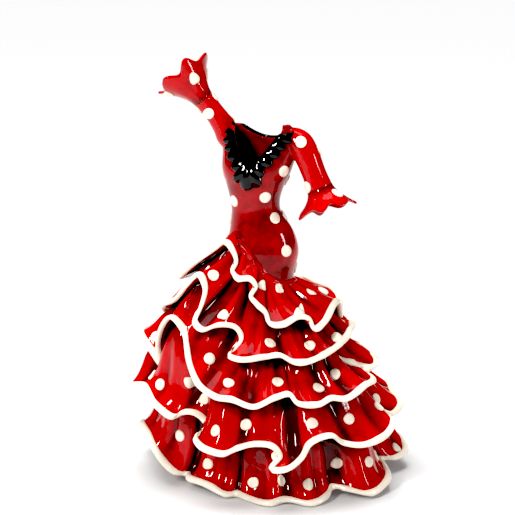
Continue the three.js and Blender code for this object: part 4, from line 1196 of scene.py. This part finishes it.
class DRESS_OT_stage(bpy.types.Operator):
    """A plain pale floor, soft studio light and the camera"""

    bl_idname = "dress.stage"
    bl_label = "Stage"

    def execute(self, context):
        scene = context.scene
        mesh = bpy.data.meshes.new("floor")
        side = FLOOR_HALF
        corners = [(-side, -side, 0), (side, -side, 0), (side, side, 0), (-side, side, 0)]
        mesh.from_pydata(corners, [], [(0, 1, 2, 3)])
        floor = bpy.data.objects.new("floor", mesh)
        context.collection.objects.link(floor)
        paper = bpy.data.materials.new("white studio paper")
        paper.use_nodes = True
        shader = paper.node_tree.nodes["Principled BSDF"]
        shader.inputs["Base Color"].default_value = (PAPER["colour"],) * 3 + (1,)
        shader.inputs["Roughness"].default_value = PAPER["roughness"]
        shader.inputs["Emission Color"].default_value = (1, 1, 1, 1)
        shader.inputs["Emission Strength"].default_value = PAPER["glow"]
        mesh.materials.append(paper)
        floor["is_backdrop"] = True

        world = bpy.data.worlds.new("studio")
        scene.world = world
        world.use_nodes = True
        background = world.node_tree.nodes["Background"]
        background.inputs["Color"].default_value = (1, 1, 1, 1)
        background.inputs["Strength"].default_value = ROOM_LIGHT
        panel = bpy.data.lights.new("panel overhead", "SUN")
        panel.energy = PANEL["power"]
        panel.angle = math.radians(PANEL["angle"])
        overhead = bpy.data.objects.new("panel overhead", panel)
        overhead.rotation_euler = (*(math.radians(tilt) for tilt in PANEL["tilt"]), 0)
        overhead.visible_glossy = False  # the softboxes make the highlights
        context.collection.objects.link(overhead)
        target = Vector(CAMERA["aim"]) * MM
        for name, place, size, power in LIGHTS:
            lamp = bpy.data.lights.new(name, "AREA")
            lamp.shape = "RECTANGLE"
            lamp.size, lamp.size_y = size
            lamp.energy = power
            aimed(name, lamp, Vector(place), target)

        above = math.radians(CAMERA["above"])
        lens = bpy.data.cameras.new("camera")
        lens.sensor_width = CAMERA["sensor"]
        lens.lens = CAMERA["sensor"] * CAMERA["away"] / CAMERA["view"]
        place = target + CAMERA["away"] * Vector((0, -math.cos(above), math.sin(above)))
        scene.camera = aimed("camera", lens, place, target)
        scene.view_settings.view_transform = "Standard"
        scene.view_settings.use_curve_mapping = True
        curve = scene.view_settings.curve_mapping
        curve.black_level = (LEVELS["black"],) * 3
        curve.white_level = (LEVELS["white"],) * 3
        curve.update()
        return {"FINISHED"}


class DRESS_PT_panel(bpy.types.Panel):
    bl_label = "Flamenco dress"
    bl_space_type = "VIEW_3D"
    bl_region_type = "UI"
    bl_category = "Dress"

    def draw(self, context):
        for kind in OPERATORS:
            self.layout.operator(kind.bl_idname)
        for group in (context.scene.dress_sizes, context.scene.dress_colours):
            for name in group.__annotations__:
                self.layout.prop(group, name)


OPERATORS = (
    DRESS_OT_stage, DRESS_OT_sheath, DRESS_OT_underskirt, DRESS_OT_flounces, DRESS_OT_cuffs, DRESS_OT_frill
)
CLASSES = (DressSizes, DressColours, *OPERATORS, DRESS_PT_panel)


def register():
    for kind in CLASSES:
        bpy.utils.register_class(kind)
    bpy.types.Scene.dress_sizes = PointerProperty(type=DressSizes)
    bpy.types.Scene.dress_colours = PointerProperty(type=DressColours)


def unregister():
    del bpy.types.Scene.dress_sizes
    del bpy.types.Scene.dress_colours
    for kind in reversed(CLASSES):
        bpy.utils.unregister_class(kind)


def main():
    register()
    bpy.ops.dress.stage()
    bpy.ops.dress.sheath()
    bpy.ops.dress.underskirt()
    bpy.ops.dress.flounces()
    bpy.ops.dress.cuffs()
    bpy.ops.dress.frill()
    boxes = {"cad": CAD_BOX, "visual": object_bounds()}
    boxes = {name: [list(corner) for corner in box] for name, box in boxes.items()}


if __name__ == "__main__":
    main()
